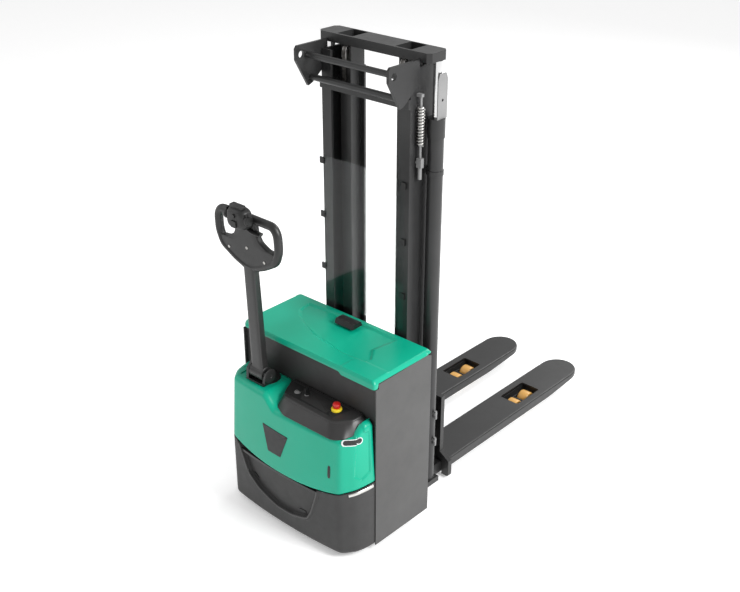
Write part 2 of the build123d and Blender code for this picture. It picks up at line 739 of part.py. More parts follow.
def make_heel_plate():
    notch_in = leg_middle - leg_width / 2 - 6
    notch_out = leg_middle + leg_width / 2 + 6
    notch_top = leg_top + 6
    right = [(heel_half, heel_top), (heel_half, heel_shoulder), (heel_foot_half, heel_foot_top),
             (heel_foot_half, heel_foot + 6), (heel_foot_half - 6, heel_foot), (notch_out, heel_foot),
             (notch_out, notch_top), (notch_in, notch_top), (notch_in, heel_foot + 30)]
    outline = right + [(-x, z) for x, z in reversed(right)]
    return plate_y(outline, fork_face - heel_wall, fork_face)


def make_carriage_frame():
    outer = inner_rail[0] - 5
    inner = outer - carriage_plate
    rear = rail_middle_y - 26
    front = fork_face - heel_wall
    plates = [plate_x([(rear, 140), (front, 110), (front, heel_top - 12), (rear, heel_top - 12)],
                      inner, outer)]
    stubs = [bar_x(inner + 2, inner_web[0] - 3, rail_middle_y, z, stub_radius)
             for z in carriage_roller_heights]
    anchor = block(inner, pulley_x + 14, inner_rail[3] + 3, inner_rail[3] + 40, heel_top - 50,
                   heel_top - 12)
    half = fuse([*plates, *stubs, anchor])
    bars = [block(-inner - 1, inner + 1, front - 46, front - 6, z, z + 50) for z in (150.0, 350.0)]
    return fuse([half, other_side(half), *bars])


def make_carriage_roller(height):
    roller = bar_x(inner_rail[0] + 1, inner_web[0] - 4, rail_middle_y, height,
                   carriage_roller_radius)
    roller = roller - bar_x(0, 400, rail_middle_y, height, stub_radius + pin_play)
    return both_sides(roller)


# ---- mast -----------------------------------------------------------------------------------
def make_outer_rail():
    inner, outer, rear, front = outer_rail
    channel = block(inner, outer, rear, front, leg_top, outer_rail_top)
    cavity = block(inner - 1, outer - rail_web, rear + outer_flange, front - outer_flange,
                   0, outer_rail_top + 1)
    stub = bar_x(inner_web[1] + 2, outer - 1, rail_middle_y, guide_roller_height, stub_radius)
    collar = bar_x(inner_rail[1] + 1.5, outer - 1, rail_middle_y, guide_roller_height,
                   stub_radius + 5)
    return fuse([channel - cavity, stub, collar])


def make_guide_roller():
    roller = bar_x(inner_web[1] + 3, inner_web[1] + 3 + guide_roller_width, rail_middle_y,
                   guide_roller_height, carriage_roller_radius)
    roller = roller - bar_x(0, 400, rail_middle_y, guide_roller_height, stub_radius + pin_play)
    return both_sides(roller)


def make_crossmembers():
    rear = outer_rail[2]
    wide = outer_rail[1]
    low = block(-wide, wide, 0, rear, leg_top, leg_top + 90)
    middle = block(-wide, wide, 0, rear, 640, 700)
    top = block(-wide, wide, rear - 12, rear, chain_anchor_height - 27, chain_anchor_height + 13)
    anchors = [block(s * pulley_x - 14, s * pulley_x + 14, rear - 1, inner_rail[2] - 1,
                     chain_anchor_height - 24, chain_anchor_height) for s in (-1, 1)]
    return low, middle, fuse([top, *anchors])


def chain_rear_y():
    """Where the chain's rear run hangs."""
    return rail_middle_y - pulley_radius


def chain_front_y():
    """Where the chain's front run hangs."""
    return rail_middle_y + pulley_radius


def make_hoist_bracket():
    face = outer_rail[1]
    outline = [(58, 2034), (-112, 2034), (-122, 2022), (-122, 1976), (-56, 1862), (-30, 1872),
               (58, 1940)]
    plate = plate_x(outline, face, face + hoist_wall)
    plate = plate - bar_x(face - 5, face + hoist_wall + 5, *hoist_hole, hoist_hole_radius)
    bars = [bar_x(-face - 1, face + 1, y, z, hoist_bar_radius) for y, z in hoist_bars]
    return fuse([*both_sides(plate), *bars])


def make_cylinder():
    tube = bar_z(cylinder_x, cylinder_y, leg_top, cylinder_top, cylinder_radius)
    head = bar_z(cylinder_x, cylinder_y, cylinder_top, cylinder_head_top, cylinder_head_radius)
    collar = bar_z(cylinder_x, cylinder_y, 1560, 1580, cylinder_radius + 3)
    strap = block(outer_rail[1], cylinder_x, cylinder_y - 14, cylinder_y + 14, 1560, 1580)
    body = fuse([tube, head, collar, strap])
    body = body - bar_z(cylinder_x, cylinder_y, rod_foot - 10, cylinder_top + 10, cylinder_bore)
    return body - bar_z(cylinder_x, cylinder_y, cylinder_top, 2000, rod_radius + pin_play)


def make_lift_rod():
    rod = bar_z(cylinder_x, cylinder_y, rod_foot, mast_height - top_plate[3], rod_radius)
    piston = bar_z(cylinder_x, cylinder_y, rod_foot, rod_foot + 40, cylinder_bore - pin_play)
    return rod + piston


def make_cylinder_guard():
    face = cylinder_x + rod_radius + 6
    low = cylinder_head_top
    plate = plate_x([(cylinder_y - 29, low), (cylinder_y + 29, low), (cylinder_y + 29, guard_top - 22),
                     (cylinder_y + 20, guard_top), (cylinder_y - 20, guard_top),
                     (cylinder_y - 29, guard_top - 22)], face, face + 4)
    plate = plate - bar_x(face - 5, face + 10, cylinder_y, guard_top - 105, 6)
    side = block(face - 26, face + 1, cylinder_y + 25, cylinder_y + 29, low, guard_top - 22)
    return plate + side


def make_inner_rail():
    inner, outer, rear, front = inner_rail
    beam = block(inner, outer, rear, front, inner_rail_foot, inner_rail_top)
    for x0, x1 in ((inner - 1, inner_web[0]), (inner_web[1], outer + 1)):
        beam = beam - block(x0, x1, rear + inner_flange, front - inner_flange, 0, 2100)
    stub = bar_x(inner_web[1] - 1, outer_rail[1] - rail_web - 4, outer_middle_y, mast_roller_height,
                 stub_radius)
    return beam + stub


def make_mast_roller():
    roller = bar_x(outer_rail[0] + 3, outer_rail[1] - rail_web - 5, outer_middle_y,
                   mast_roller_height, mast_roller_radius)
    roller = roller - bar_x(0, 400, outer_middle_y, mast_roller_height, stub_radius + pin_play)
    return both_sides(roller)


def make_inner_brace():
    half = inner_rail[1] - 6
    rear = inner_rail[2]
    return block(-half, half, rear - 12, rear, inner_rail_foot + 4, inner_rail_foot + 70)


def make_top_crossmember():
    half, rear, front, thick = top_plate
    low = mast_height - thick
    plate = plate_z([(half, rear + 16), (half - 16, rear), (-half + 16, rear), (-half, rear + 16),
                     (-half, front - 16), (-half + 16, front), (half - 16, front), (half, front - 16)],
                    low, mast_height)
    x0, x1, y0, y1 = top_plate_window
    for side in (1, -1):
        window = block(min(side * x0, side * x1), max(side * x0, side * x1), y0, y1, 1900, 2100)
        plate = plate - fillet(window.edges().filter_by(Axis.Z), 6)
    cheeks = [block(x, x + 8, rail_middle_y - 40, rail_middle_y + 40, inner_rail_top, low + 4)
              for x in (pulley_x - 27, pulley_x + 19)]
    pin = bar_x(pulley_x - 26, pulley_x + 26, rail_middle_y, pulley_height, pulley_pin_radius)
    bridges = [block(x, x + 20, y0 - 2, y1 + 2, low, low + 8) for x in (x0 - 4, x1 - 16)]
    right = fuse([*cheeks, pin, *bridges])
    return fuse([plate, right, other_side(right)])


def make_chain_pulley():
    wheel = bar_x(pulley_x - pulley_width / 2, pulley_x + pulley_width / 2, rail_middle_y,
                  pulley_height, pulley_radius + 4)
    groove = bar_x(pulley_x - chain_width / 2 - 0.5, pulley_x + chain_width / 2 + 0.5,
                   rail_middle_y, pulley_height, pulley_radius + 10)
    groove = groove - bar_x(0, 400, rail_middle_y, pulley_height,
                            pulley_radius - chain_depth / 2 - seat_gap)
    wheel = wheel - groove
    wheel = wheel - bar_x(0, 400, rail_middle_y, pulley_height, pulley_pin_radius + pin_play)
    return both_sides(wheel)


def make_chain_rear():
    y = chain_rear_y()
    run = block(pulley_x - chain_width / 2, pulley_x + chain_width / 2, y - chain_depth / 2,
                y + chain_depth / 2, chain_anchor_height, pulley_height)
    return both_sides(run)


def make_chain_front():
    y = chain_front_y()
    foot = heel_top - 12
    run = block(pulley_x - chain_width / 2, pulley_x + chain_width / 2, y - chain_depth / 2,
                y + chain_depth / 2, foot, pulley_height)
    arch_outer = bar_x(pulley_x - chain_width / 2, pulley_x + chain_width / 2, rail_middle_y,
                       pulley_height, pulley_radius + chain_depth / 2)
    arch = arch_outer - bar_x(0, 400, rail_middle_y, pulley_height, pulley_radius - chain_depth / 2)
    arch = arch & block(0, 400, 0, 400, pulley_height, mast_height + 100)
    return both_sides(run), both_sides(arch)


# ---- screen, line and trim ---------------------------------------------------------------------


def make_screen():
    left, right = screen_side
    back = outer_rail[2] - 1
    corner = screen_top - 10
    crown = ThreePointArc((left, 0, corner), ((left + right) / 2, 0, screen_top), (right, 0, corner))
    rim = Polyline((right, 0, corner), (right, 0, screen_foot), (left, 0, screen_foot),
                   (left, 0, corner))
    face = Pos(0, back - screen_wall, 0) * make_face([crown, *rim.edges()])
    return extrude(face, amount=screen_wall, dir=(0, 1, 0))


def make_screen_clips():
    rear = outer_rail[2]
    front = rear - 3 - screen_wall
    clips = []
    for edge, out in ((screen_side[0], -1), (screen_side[1], 1)):
        for z in clip_heights:
            def span(inner, outer, y0, y1):
                ends = sorted((edge + out * inner, edge + out * outer))
                return block(*ends, y0, y1, z - 14, z + 14)
            clips.append(fuse([span(-16, 7, front, rear - 1 - screen_wall),
                               span(0.2, 7, front, rear)]))
            clips.append(span(-16, -4, rear - 1, rear))
    return clips


def make_hydraulic_line():
    x, y = line_place
    pipe = bar_z(x, y, line_foot, line_top, 5)
    tee = block(x - 12, x + 12, y - 9, y + 9, *tee_heights)
    branch = bar_x(outer_rail[1], x, y, sum(tee_heights) / 2, 7)
    sleeve = bar_z(x, y, line_foot, tee_heights[0] + 1, 8)
    spring = bar_z(x, y, *spring_heights, 8.5)
    top_clamp = block(outer_rail[1], x + 8, y - 8, y + 8, line_top - 12, line_top)
    return fuse([pipe, tee, branch, sleeve, spring, top_clamp])


def make_cylinder_fittings():
    edge = cylinder_x + cylinder_radius
    ports = [fuse([bar_x(edge - 2, edge + 12, cylinder_y, z, 9),
                   bar_z(edge + 10, cylinder_y, z - 26, z + 14, 6)]) for z in port_heights]
    ports = [port - bar_z(cylinder_x, cylinder_y, 0, 2000, cylinder_radius) for port in ports]
    return [s for port in ports for s in both_sides(port)]


if __name__ == "__main__":
    os.makedirs("parts", exist_ok=True)
    write("base_frame", make_base_frame())
    write("bumper_skirt", make_bumper())
    write("front_cowl", make_cowl())
    write("console", make_console())
    write("console_panel", make_console_panel())
    write("emergency_stop", make_stop_button())
    write("key_switch", make_key_switch())
    write("side_panels", *both_sides(make_side_panel()))
    write("front_wall", make_front_wall())
    write("battery_lid", make_lid())
    write("lid_latch", make_lid_latch())
    write("battery", make_battery())
    write("power_pack", make_power_pack())
    write("motor_controller", make_controller())
    write("drive_gearbox", make_gearbox())
    write("drive_motor", make_drive_motor())
    write("steering_bracket", make_steering_bracket())
    write("drive_wheel", make_drive_wheel())
    write("tiller_shaft", make_tiller_shaft())
    write("tiller_head", make_tiller_head())
    write("control_pod", make_control_pod())
    write("travel_levers", *make_travel_levers())
    write("lift_rocker", make_lift_rocker())
    write("horn_button", make_horn_button())
    write("belly_button", make_belly_button())
    write("castor_fork", make_castor_fork())
    write("castor_wheel", make_castor_wheel())
    leg, bogie = make_leg(), make_bogie()
    write("leg_right", leg)
    write("leg_left", other_side(leg))
    write("bogie_right", bogie)
    write("bogie_left", other_side(bogie))
    for place, step in (("rear", -1), ("front", 1)):
        roller = make_load_roller(step)
        write(f"load_roller_right_{place}", roller)
        write(f"load_roller_left_{place}", other_side(roller))
    fork = make_fork()
    write("fork_right", fork)
    write("fork_left", other_side(fork))
    write("heel_plate", make_heel_plate())
    write("carriage_frame", make_carriage_frame())
    write("carriage_rollers_lower", *make_carriage_roller(carriage_roller_heights[0]))
    write("carriage_rollers_upper", *make_carriage_roller(carriage_roller_heights[1]))
    rail = make_outer_rail()
    write("outer_rail_right", rail)
    write("outer_rail_left", other_side(rail))
    write("mast_guide_rollers", *make_guide_roller())
    write("mast_crossmembers", *make_crossmembers())
    write("hoist_bracket", make_hoist_bracket())
    write("lift_cylinders", *both_sides(make_cylinder()))
    write("cylinder_guards", *both_sides(make_cylinder_guard()))
    write("lift_rods", *both_sides(make_lift_rod()))
    write("inner_rails", *both_sides(make_inner_rail()))
    write("inner_brace", make_inner_brace())
    write("mast_rollers", *make_mast_roller())
    write("top_crossmember", make_top_crossmember())
    write("chain_pulleys", *make_chain_pulley())
    front_runs, arches = make_chain_front()
    write("chain_rear_runs", *make_chain_rear())
    write("chain_front_runs", *front_runs)
    write("chain_arches", *arches)
    write("guard_screen", make_screen())
    write("screen_clips", *make_screen_clips())
    write("hydraulic_lines", make_hydraulic_line(), *make_cylinder_fittings())
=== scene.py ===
"""Looks for a walk-behind electric pallet stacker: shells, grips, chains, wheels and finishes
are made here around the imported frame, and everything is in metres in the frame's own axes."""
import json

import bmesh
import bpy
import numpy as np
from mathutils import Matrix, Vector


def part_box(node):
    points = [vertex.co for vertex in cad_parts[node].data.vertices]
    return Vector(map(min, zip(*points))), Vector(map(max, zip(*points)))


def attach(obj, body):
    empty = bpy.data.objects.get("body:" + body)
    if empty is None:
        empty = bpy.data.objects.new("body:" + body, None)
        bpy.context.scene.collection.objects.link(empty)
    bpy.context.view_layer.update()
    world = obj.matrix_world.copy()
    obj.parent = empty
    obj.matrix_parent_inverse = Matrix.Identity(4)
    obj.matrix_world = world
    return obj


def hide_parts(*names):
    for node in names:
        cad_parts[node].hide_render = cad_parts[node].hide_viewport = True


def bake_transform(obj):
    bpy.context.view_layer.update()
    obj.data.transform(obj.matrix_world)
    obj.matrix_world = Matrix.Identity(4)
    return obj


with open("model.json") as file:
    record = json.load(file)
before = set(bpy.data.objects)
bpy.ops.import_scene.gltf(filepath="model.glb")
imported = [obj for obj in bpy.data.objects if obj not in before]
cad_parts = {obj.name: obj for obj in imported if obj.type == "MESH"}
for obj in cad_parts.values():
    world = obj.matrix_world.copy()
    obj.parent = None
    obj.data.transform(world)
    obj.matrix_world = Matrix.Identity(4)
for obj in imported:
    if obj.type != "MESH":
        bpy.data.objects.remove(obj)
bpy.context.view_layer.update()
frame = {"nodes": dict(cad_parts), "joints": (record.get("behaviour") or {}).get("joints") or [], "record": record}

bl_info = {
    "name": "Pallet Stacker Dressing",
    "version": (1, 0, 0),
    "blender": (4, 5, 0),
    "location": "View3D > Sidebar > Stacker",
    "description": "Builds the shells, grips, chains and finishes of a walk-behind pallet stacker",
    "category": "Object",
}

MM = 0.001
TAU = 2 * np.pi


# ---- where things are
def low(node):
    return np.array(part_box(node)[0])


def high(node):
    return np.array(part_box(node)[1])


def middle(node):
    return (low(node) + high(node)) / 2


def half_size(node):
    return (high(node) - low(node)) / 2


def body_of_node(node):
    """The body that a node moves with, from the record."""
    bodies = frame["record"]["behaviour"]["bodies"]
    return next(name for name, nodes in bodies.items() if node in nodes)


SHELL_LOW, SHELL_HIGH = low("bumper_skirt"), high("bumper_skirt")
COWL_TOP = high("front_cowl")[2]
WALL_FACE = low("front_wall")[1]
LID_LOW, LID_HIGH = low("battery_lid"), high("battery_lid")
PANEL_FRONT, PANEL_BACK = low("side_panels")[1], high("side_panels")[1]
TILLER = np.array(next(j["pos_m"] for j in frame["joints"] if j["name"] == "tiller_tilt"))
LEAN = np.radians(2.3)
LOAD_ROLLERS = [node for node in frame["nodes"] if node.startswith("load_roller")]
PLAN_STEPS = 330
LAID_ON = 0.0006
NO_SEAM = 9.0
CHAIN_HALF, CHAIN_PITCH = 0.008, 0.0159


# ---- settings
def colour(name, description, default):
    return bpy.props.FloatVectorProperty(
        name=name, description=description, default=default, subtype="COLOR", size=3, min=0, max=1)


def length(name, description, default, least):
    return bpy.props.FloatProperty(
        name=name, description=description, default=default, min=least, unit="LENGTH")


class StackerColours(bpy.types.PropertyGroup):
    """Colours of the painted and moulded pieces."""
    shell: colour("Shell green", "Cowl and battery lid", (0.000, 0.350, 0.215))
    shell_pale: colour("Shell green, worn", "Paler patches of the shells", (0.002, 0.385, 0.245))
    moulding: colour("Dark moulding", "Bumper, console and wall", (0.022, 0.0215, 0.0215))
    panel: colour("Panel grey", "Side panels", (0.046, 0.0455, 0.045))
    mast: colour("Mast paint", "Mast rails and brackets", (0.0175, 0.0175, 0.0178))
    fork: colour("Fork paint", "Forks, legs and heel plate", (0.009, 0.009, 0.009))
    roller: colour("Roller amber", "Load roller treads", (0.50, 0.27, 0.065))


class StackerShells(bpy.types.PropertyGroup):
    """Sizes of the moulded shells."""
    wall: length("Shell wall", "Thickness of the moulded shells", 0.004, 0.002)
    nose_half: length("Nose half width", "From the middle to where nose and flank meet", 0.330, 0.2)
    nose_bow: length("Nose bow", "How far the nose's middle stands forward", 0.012, 0)
    corner_reach: length("Corner rounding", "Length of outline taken up by each rounded corner",
                         0.075, 0.01)
    smile_mid: length("Joint height, middle", "Joint of bumper and cowl at the nose", 0.300, 0.1)
    smile_side: length("Joint height, side", "Joint of bumper and cowl at the side panels",
                       0.360, 0.1)


class StackerTiller(bpy.types.PropertyGroup):
    """Sizes of the tiller head."""
    grip: length("Grip radius", "Radius of the hand grips", 0.0178, 0.01)
    half: length("Head half width", "From the middle to the outside of a grip", 0.193, 0.1)


# ---- meshes
def quads(rows, cols, wrap_rows, wrap_cols):
    """Corner numbers of the four-sided faces of a grid, with either direction closed on itself."""
    i = np.arange(rows if wrap_rows else rows - 1)
    j = np.arange(cols if wrap_cols else cols - 1)
    i, j = np.meshgrid(i, j, indexing="ij")
    i2, j2 = (i + 1) % rows, (j + 1) % cols
    faces = np.stack([i * cols + j, i2 * cols + j, i2 * cols + j2, i * cols + j2], axis=-1)
    return faces.reshape(-1, 4)


def make_object(name, grids, coat, body, replaces=(), closed=(False, True), wall=0.0,
                sharp=0.6):
    """Turn one grid of points, or a list of them, into one mesh object that rides on a body;
    closed says whether the grids' rows and columns come round on themselves."""
    grids = grids if isinstance(grids, list) else [grids]
    starts = np.cumsum([0] + [len(g) * g.shape[1] for g in grids])
    faces = np.concatenate([quads(*g.shape[:2], *closed) + n for g, n in zip(grids, starts)])
    mesh = bpy.data.meshes.new(name)
    points = np.concatenate([g.reshape(-1, 3) for g in grids])
    mesh.from_pydata(points.tolist(), [], faces.tolist())
    mesh.polygons.foreach_set("use_smooth", np.ones(len(mesh.polygons), bool))
    mesh.update()
    piece = bpy.data.objects.new(name, mesh)
    bpy.context.scene.collection.objects.link(piece)
    weld(mesh, sharp)
    if wall:
        solid = piece.modifiers.new("wall", "SOLIDIFY")
        solid.thickness, solid.offset = wall, -1
    mesh.materials.append(get(coat))
    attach(piece, body)
    if replaces:
        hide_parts(*replaces)
    return piece


def weld(mesh, sharp):
    """Merge doubled points, drop faces that closed up, and mark creases sharper than an angle."""
    work = bmesh.new()
    work.from_mesh(mesh)
    bmesh.ops.remove_doubles(work, verts=work.verts, dist=1e-6)
    bmesh.ops.dissolve_degenerate(work, dist=1e-7, edges=work.edges)
    bmesh.ops.recalc_face_normals(work, faces=work.faces)
    work.to_mesh(mesh)
    work.free()
    mesh.set_sharp_from_angle(angle=sharp)


def xyz(x, y, z):
    """Points from three arrays of coordinates that are spread to one shape."""
    return np.stack(np.broadcast_arrays(x, y, z), axis=-1)


def raised(plan, z):
    """Plan points at a height."""
    return xyz(plan[..., 0], plan[..., 1], z)


def profile(pairs, start=0.0):
    """Pairs of radius and distance along an axis, from millimetres, begun at a place on it."""
    return np.array(pairs, float) * MM + (0, start)


def mirrored(half):
    """A profile's first half followed by its mirror image along the axis."""
    return [*half, *[(radius, -along) for radius, along in half[::-1]]]


def turned(outline, steps, axis, centre):
    """A profile of (radius, along) pairs carried round an axis through centre."""
    angle = np.arange(steps) * TAU / steps
    radius, along = np.array(outline, float).T
    ring = xyz(np.outer(radius, np.cos(angle)), np.outer(radius, np.sin(angle)), along[:, None])
    order = {"x": (2, 0, 1), "y": (1, 2, 0), "z": (0, 1, 2)}[axis]
    return ring[..., order] + np.array(centre)


def carried(path, section, up, closed=False):
    """A flat section (across, up) carried square to a path; up is the direction kept upright."""
    path = np.asarray(path, float)
    ahead = np.roll(path, -1, axis=0) - np.roll(path, 1, axis=0)
    if not closed:
        ahead[0], ahead[-1] = path[1] - path[0], path[-1] - path[-2]
    ahead /= np.linalg.norm(ahead, axis=1, keepdims=True)
    across = np.cross(ahead, np.asarray(up, float))
    across /= np.linalg.norm(across, axis=1, keepdims=True)
    above = np.cross(across, ahead)
    return (path[:, None] + across[:, None] * section[None, :, :1]
            + above[:, None] * section[None, :, 1:])


def circle(radius, steps):
    angle = np.arange(steps) * TAU / steps
    return np.stack([radius * np.cos(angle), radius * np.sin(angle)], axis=-1)


def superellipse(steps, power, half_wide, half_tall):
    """A rounded rectangle: the angle's cosine and sine, each raised to a power below one with
    its sign kept, times the half sizes."""
    ring = circle(1.0, steps)
    return np.sign(ring) * np.abs(ring) ** power * (half_wide, half_tall)


def rotated(flat, tilt):
    """Flat points turned about their origin by an angle."""
    c, s = np.cos(tilt), np.sin(tilt)
    return flat @ np.array([[c, -s], [s, c]]).T


def capped(tube):
    """A tube with its two ends drawn to their middles."""
    first, last = (np.repeat(end.mean(axis=1, keepdims=True), tube.shape[1], axis=1)
                   for end in (tube[:1], tube[-1:]))
    return np.concatenate([first, tube, last])


def distance_along(path):
    steps = np.linalg.norm(np.diff(path, axis=0), axis=1)
    return np.concatenate([[0], np.cumsum(steps)])


def smooth_path(points, count, closed=False, reach=0):
    """Points spread evenly along straight runs, averaged over a window to round the corners."""
    points = np.asarray(points, float)
    if closed:
        points = np.concatenate([points, points[:1]])
    along = distance_along(points)
    where = np.linspace(0, along[-1], count, endpoint=not closed)
    even = np.stack([np.interp(where, along, c) for c in points.T], axis=-1)
    half = int(round(reach / along[-1] * count / 2))
    if half < 1:
        return even
    window = np.hanning(2 * half + 3)[1:-1]
    window /= window.sum()
    how = {"mode": "wrap"} if closed else {"mode": "reflect", "reflect_type": "odd"}
    padded = np.pad(even, ((half, half), (0, 0)), **how)
    return np.stack([np.convolve(c, window, mode="valid") for c in padded.T], axis=-1)


def step_up(x, start, end):
    """0 before start, 1 after end, and a smooth rise between."""
    t = np.clip((x - start) / (end - start), 0, 1)
    return t * t * (3 - 2 * t)


def bump_at(x, centre, half, soft):
    """1 within half of centre, falling smoothly to 0 over soft."""
    return 1 - step_up(np.abs(x - centre), half, half + soft)


def pillow(outline, rise):
    """A closed lens: the outline is drawn in towards its middle while it rises by each pair
    (share of the outline, height) in turn; outline is (n, 2) and the result is (m, n, 3)."""
    centre = outline.mean(axis=0)
    share, height = np.array(rise, float).T
    flat = centre + share[:, None, None] * (outline - centre)[None]
    return raised(flat, height[:, None])


def edge_rise(depth, soft, reach):
    """Pillow pairs for a plate whose rims are rounded by soft; reach is its half size."""
    turn = np.linspace(0, np.pi / 2, 5)
    out = 1 - (soft - soft * np.sin(turn)) / reach
    rim_low = [(s, soft - soft * np.cos(a)) for s, a in zip(out, turn)]
    rim_high = [(s, depth - soft + soft * np.cos(a)) for s, a in zip(out[::-1], turn[::-1])]
    return [(0, 0), (0.5, 0), *rim_low, *rim_high, (0.5, depth), (0, depth)]


def set_upright(grid, origin):
    """Stand a flat-built grid (x, up, height) at an origin, with its height towards -Y."""
    return np.asarray(origin, float) + xyz(grid[..., 0], -grid[..., 2], grid[..., 1])


def leaning(points):
    """Tip a tiller piece from upright to the tiller's resting lean."""
    rel = points - TILLER
    c, s = np.cos(LEAN), np.sin(LEAN)
    return xyz(rel[..., 0], rel[..., 1] * c - rel[..., 2] * s,
               rel[..., 1] * s + rel[..., 2] * c) + TILLER


# ---- finishes
def new_material(name, inputs):
    """An empty material with its shader's sockets set."""
    material = bpy.data.materials.new(name)
    material.use_nodes = True
    shader = material.node_tree.nodes["Principled BSDF"]
    for socket, value in inputs.items():
        shader.inputs[socket].default_value = value
    return material, material.node_tree, shader


def add_node(tree, kind, inputs=None, **feeds):
    """Add a shader node, set its sockets by name, and feed others from outputs."""
    node = tree.nodes.new("ShaderNode" + kind)
    for socket, value in (inputs or {}).items():
        node.inputs[socket].default_value = value
    for socket, output in feeds.items():
        tree.links.new(output, node.inputs[socket])
    return node


def finish(name, colour, rough, grain, depth, second=None, rough_span=0.1, blotch=6.0, metal=0.0,
           coat=0.0, edge=0.0, streak=None, specular=0.5):
    """A procedural surface: two close colours mixed by a slow noise, a roughness that wanders,
    a fine grain as relief, and edges rounded for the light by a few tenths of a millimetre."""
    material, tree, shader = new_material(name, {
        "Metallic": metal, "Specular IOR Level": specular, "Coat Weight": coat,
        "Coat Roughness": 0.2})
    source = add_node(tree, "TexCoord").outputs["Object"]
    if streak:
        source = add_node(tree, "Mapping", {"Scale": streak}, Vector=source).outputs["Vector"]

    def noise(scale, detail):
        return add_node(tree, "TexNoise", {"Scale": scale, "Detail": detail},
                        Vector=source).outputs["Fac"]
    ramp = add_node(tree, "ValToRGB", Fac=noise(blotch, 4))
    second = second or tuple(min(1, c * 1.22 + 0.002) for c in colour)
    ends = ramp.color_ramp.elements
    for end, place, tint in ((ends[0], 0.35, colour), (ends[1], 0.68, second)):
        end.position, end.color = place, (*tint, 1)
    tree.links.new(ramp.outputs["Color"], shader.inputs["Base Color"])
    span = add_node(tree, "MapRange", {"To Min": rough - rough_span, "To Max": rough + rough_span},
                    Value=noise(blotch * 6, 5))
    tree.links.new(span.outputs["Result"], shader.inputs["Roughness"])
    relief = add_node(tree, "Bump", {"Strength": 0.6, "Distance": depth}, Height=noise(grain, 3))
    if edge:
        soft = add_node(tree, "Bevel", {"Radius": edge})
        soft.samples = 3
        tree.links.new(soft.outputs["Normal"], relief.inputs["Normal"])
    tree.links.new(relief.outputs["Normal"], shader.inputs["Normal"])
    return material


def clear_finish():
    """A clear sheet: thin tinted transmission with faint scuffs in its roughness."""
    material, tree, shader = new_material("clear_sheet", {
        "Base Color": (0.93, 0.97, 0.96, 1), "Transmission Weight": 1.0, "IOR": 1.03,
        "Alpha": 0.55, "Coat Weight": 0.6, "Coat Roughness": 0.03})
    place = add_node(tree, "TexCoord")
    scuff = add_node(tree, "TexNoise", {"Scale": 60.0, "Detail": 6.0},
                     Vector=place.outputs["Object"])
    span = add_node(tree, "MapRange", {"To Min": 0.0, "To Max": 0.08}, Value=scuff.outputs["Fac"])
    tree.links.new(span.outputs["Result"], shader.inputs["Roughness"])
    return material


FINISHES = {}


def get(name):
    if name not in FINISHES:
        raise RuntimeError(f"the finish {name} isn't mixed yet; run Mix Finishes first")
    return FINISHES[name]


# Each coat's material, colour (a setting's name, a grey or a triple), roughness, grain and depth
# of grain, and whatever else sets it apart.
COATS = {
    "green": ("green_shell", "shell", 0.34, 1400, 0.00003,
              dict(second="shell_pale", rough_span=0.06, blotch=3, coat=0.08, specular=0.3)),
    "moulding": ("dark_moulding", "moulding", 0.55, 1500, 0.00006, dict(blotch=5)),
    "console": ("console_coat", (0.019, 0.018, 0.018), 0.40, 1500, 0.00005, dict(blotch=5)),
    "shaft": ("shaft_coat", 0.016, 0.38, 900, 0.00006, dict(blotch=7)),
    "panel": ("panel_coat", "panel", 0.46, 700, 0.00005, dict(blotch=4, edge=0.002)),
    "mast": ("mast_paint", "mast", 0.36, 500, 0.00006, dict(blotch=5, edge=0.0015, specular=0.42)),
    "fork": ("fork_paint", "fork", 0.40, 500, 0.00006, dict(edge=0.0015)),
    "black": ("black_trim", 0.005, 0.46, 1600, 0.00005, {}),
    "black_steel": ("black_steel", (0.008, 0.009, 0.009), 0.38, 600, 0.00008, dict(edge=0.001)),
    "tiller": ("tiller_moulding", 0.010, 0.44, 1600, 0.0001, {}),
    "red": ("stop_red", (0.55, 0.012, 0.010), 0.32, 900, 0.00002, dict(coat=0.3)),
    "yellow": ("stop_yellow", (0.90, 0.66, 0.02), 0.38, 900, 0.00002, {}),
    "zinc": ("zinc_plate", (0.52, 0.51, 0.49), 0.33, 1200, 0.00002, dict(metal=1.0, edge=0.0006)),
    "guard": ("guard_paint", 0.19, 0.42, 700, 0.00008, dict(edge=0.0008)),
    "cast": ("cast_metal", (0.16, 0.16, 0.165), 0.6, 350, 0.0002, dict(metal=0.6)),
    "battery": ("battery_case", (0.07, 0.072, 0.078), 0.6, 800, 0.00008, {}),
    "tyre": ("wheel_tyre", 0.026, 0.72, 500, 0.0001, {}),
    "amber": ("roller_amber", "roller", 0.36, 300, 0.00004, dict(rough_span=0.08, coat=0.2)),
    "chrome": ("rod_chrome", 0.72, 0.1, 300, 0.000008,
               dict(rough_span=0.04, metal=1.0, streak=(1, 1, 0.05))),
    "chain": ("chain_steel", (0.09, 0.085, 0.08), 0.42, 1500, 0.00008,
              dict(second=(0.17, 0.16, 0.15), metal=0.85, blotch=40)),
    "badge": ("badge_face", (0.006, 0.006, 0.0065), 0.5, 1800, 0.00001, {}),
    "pale": ("pale_label", (0.62, 0.66, 0.66), 0.35, 1800, 0.00001, {}),
}
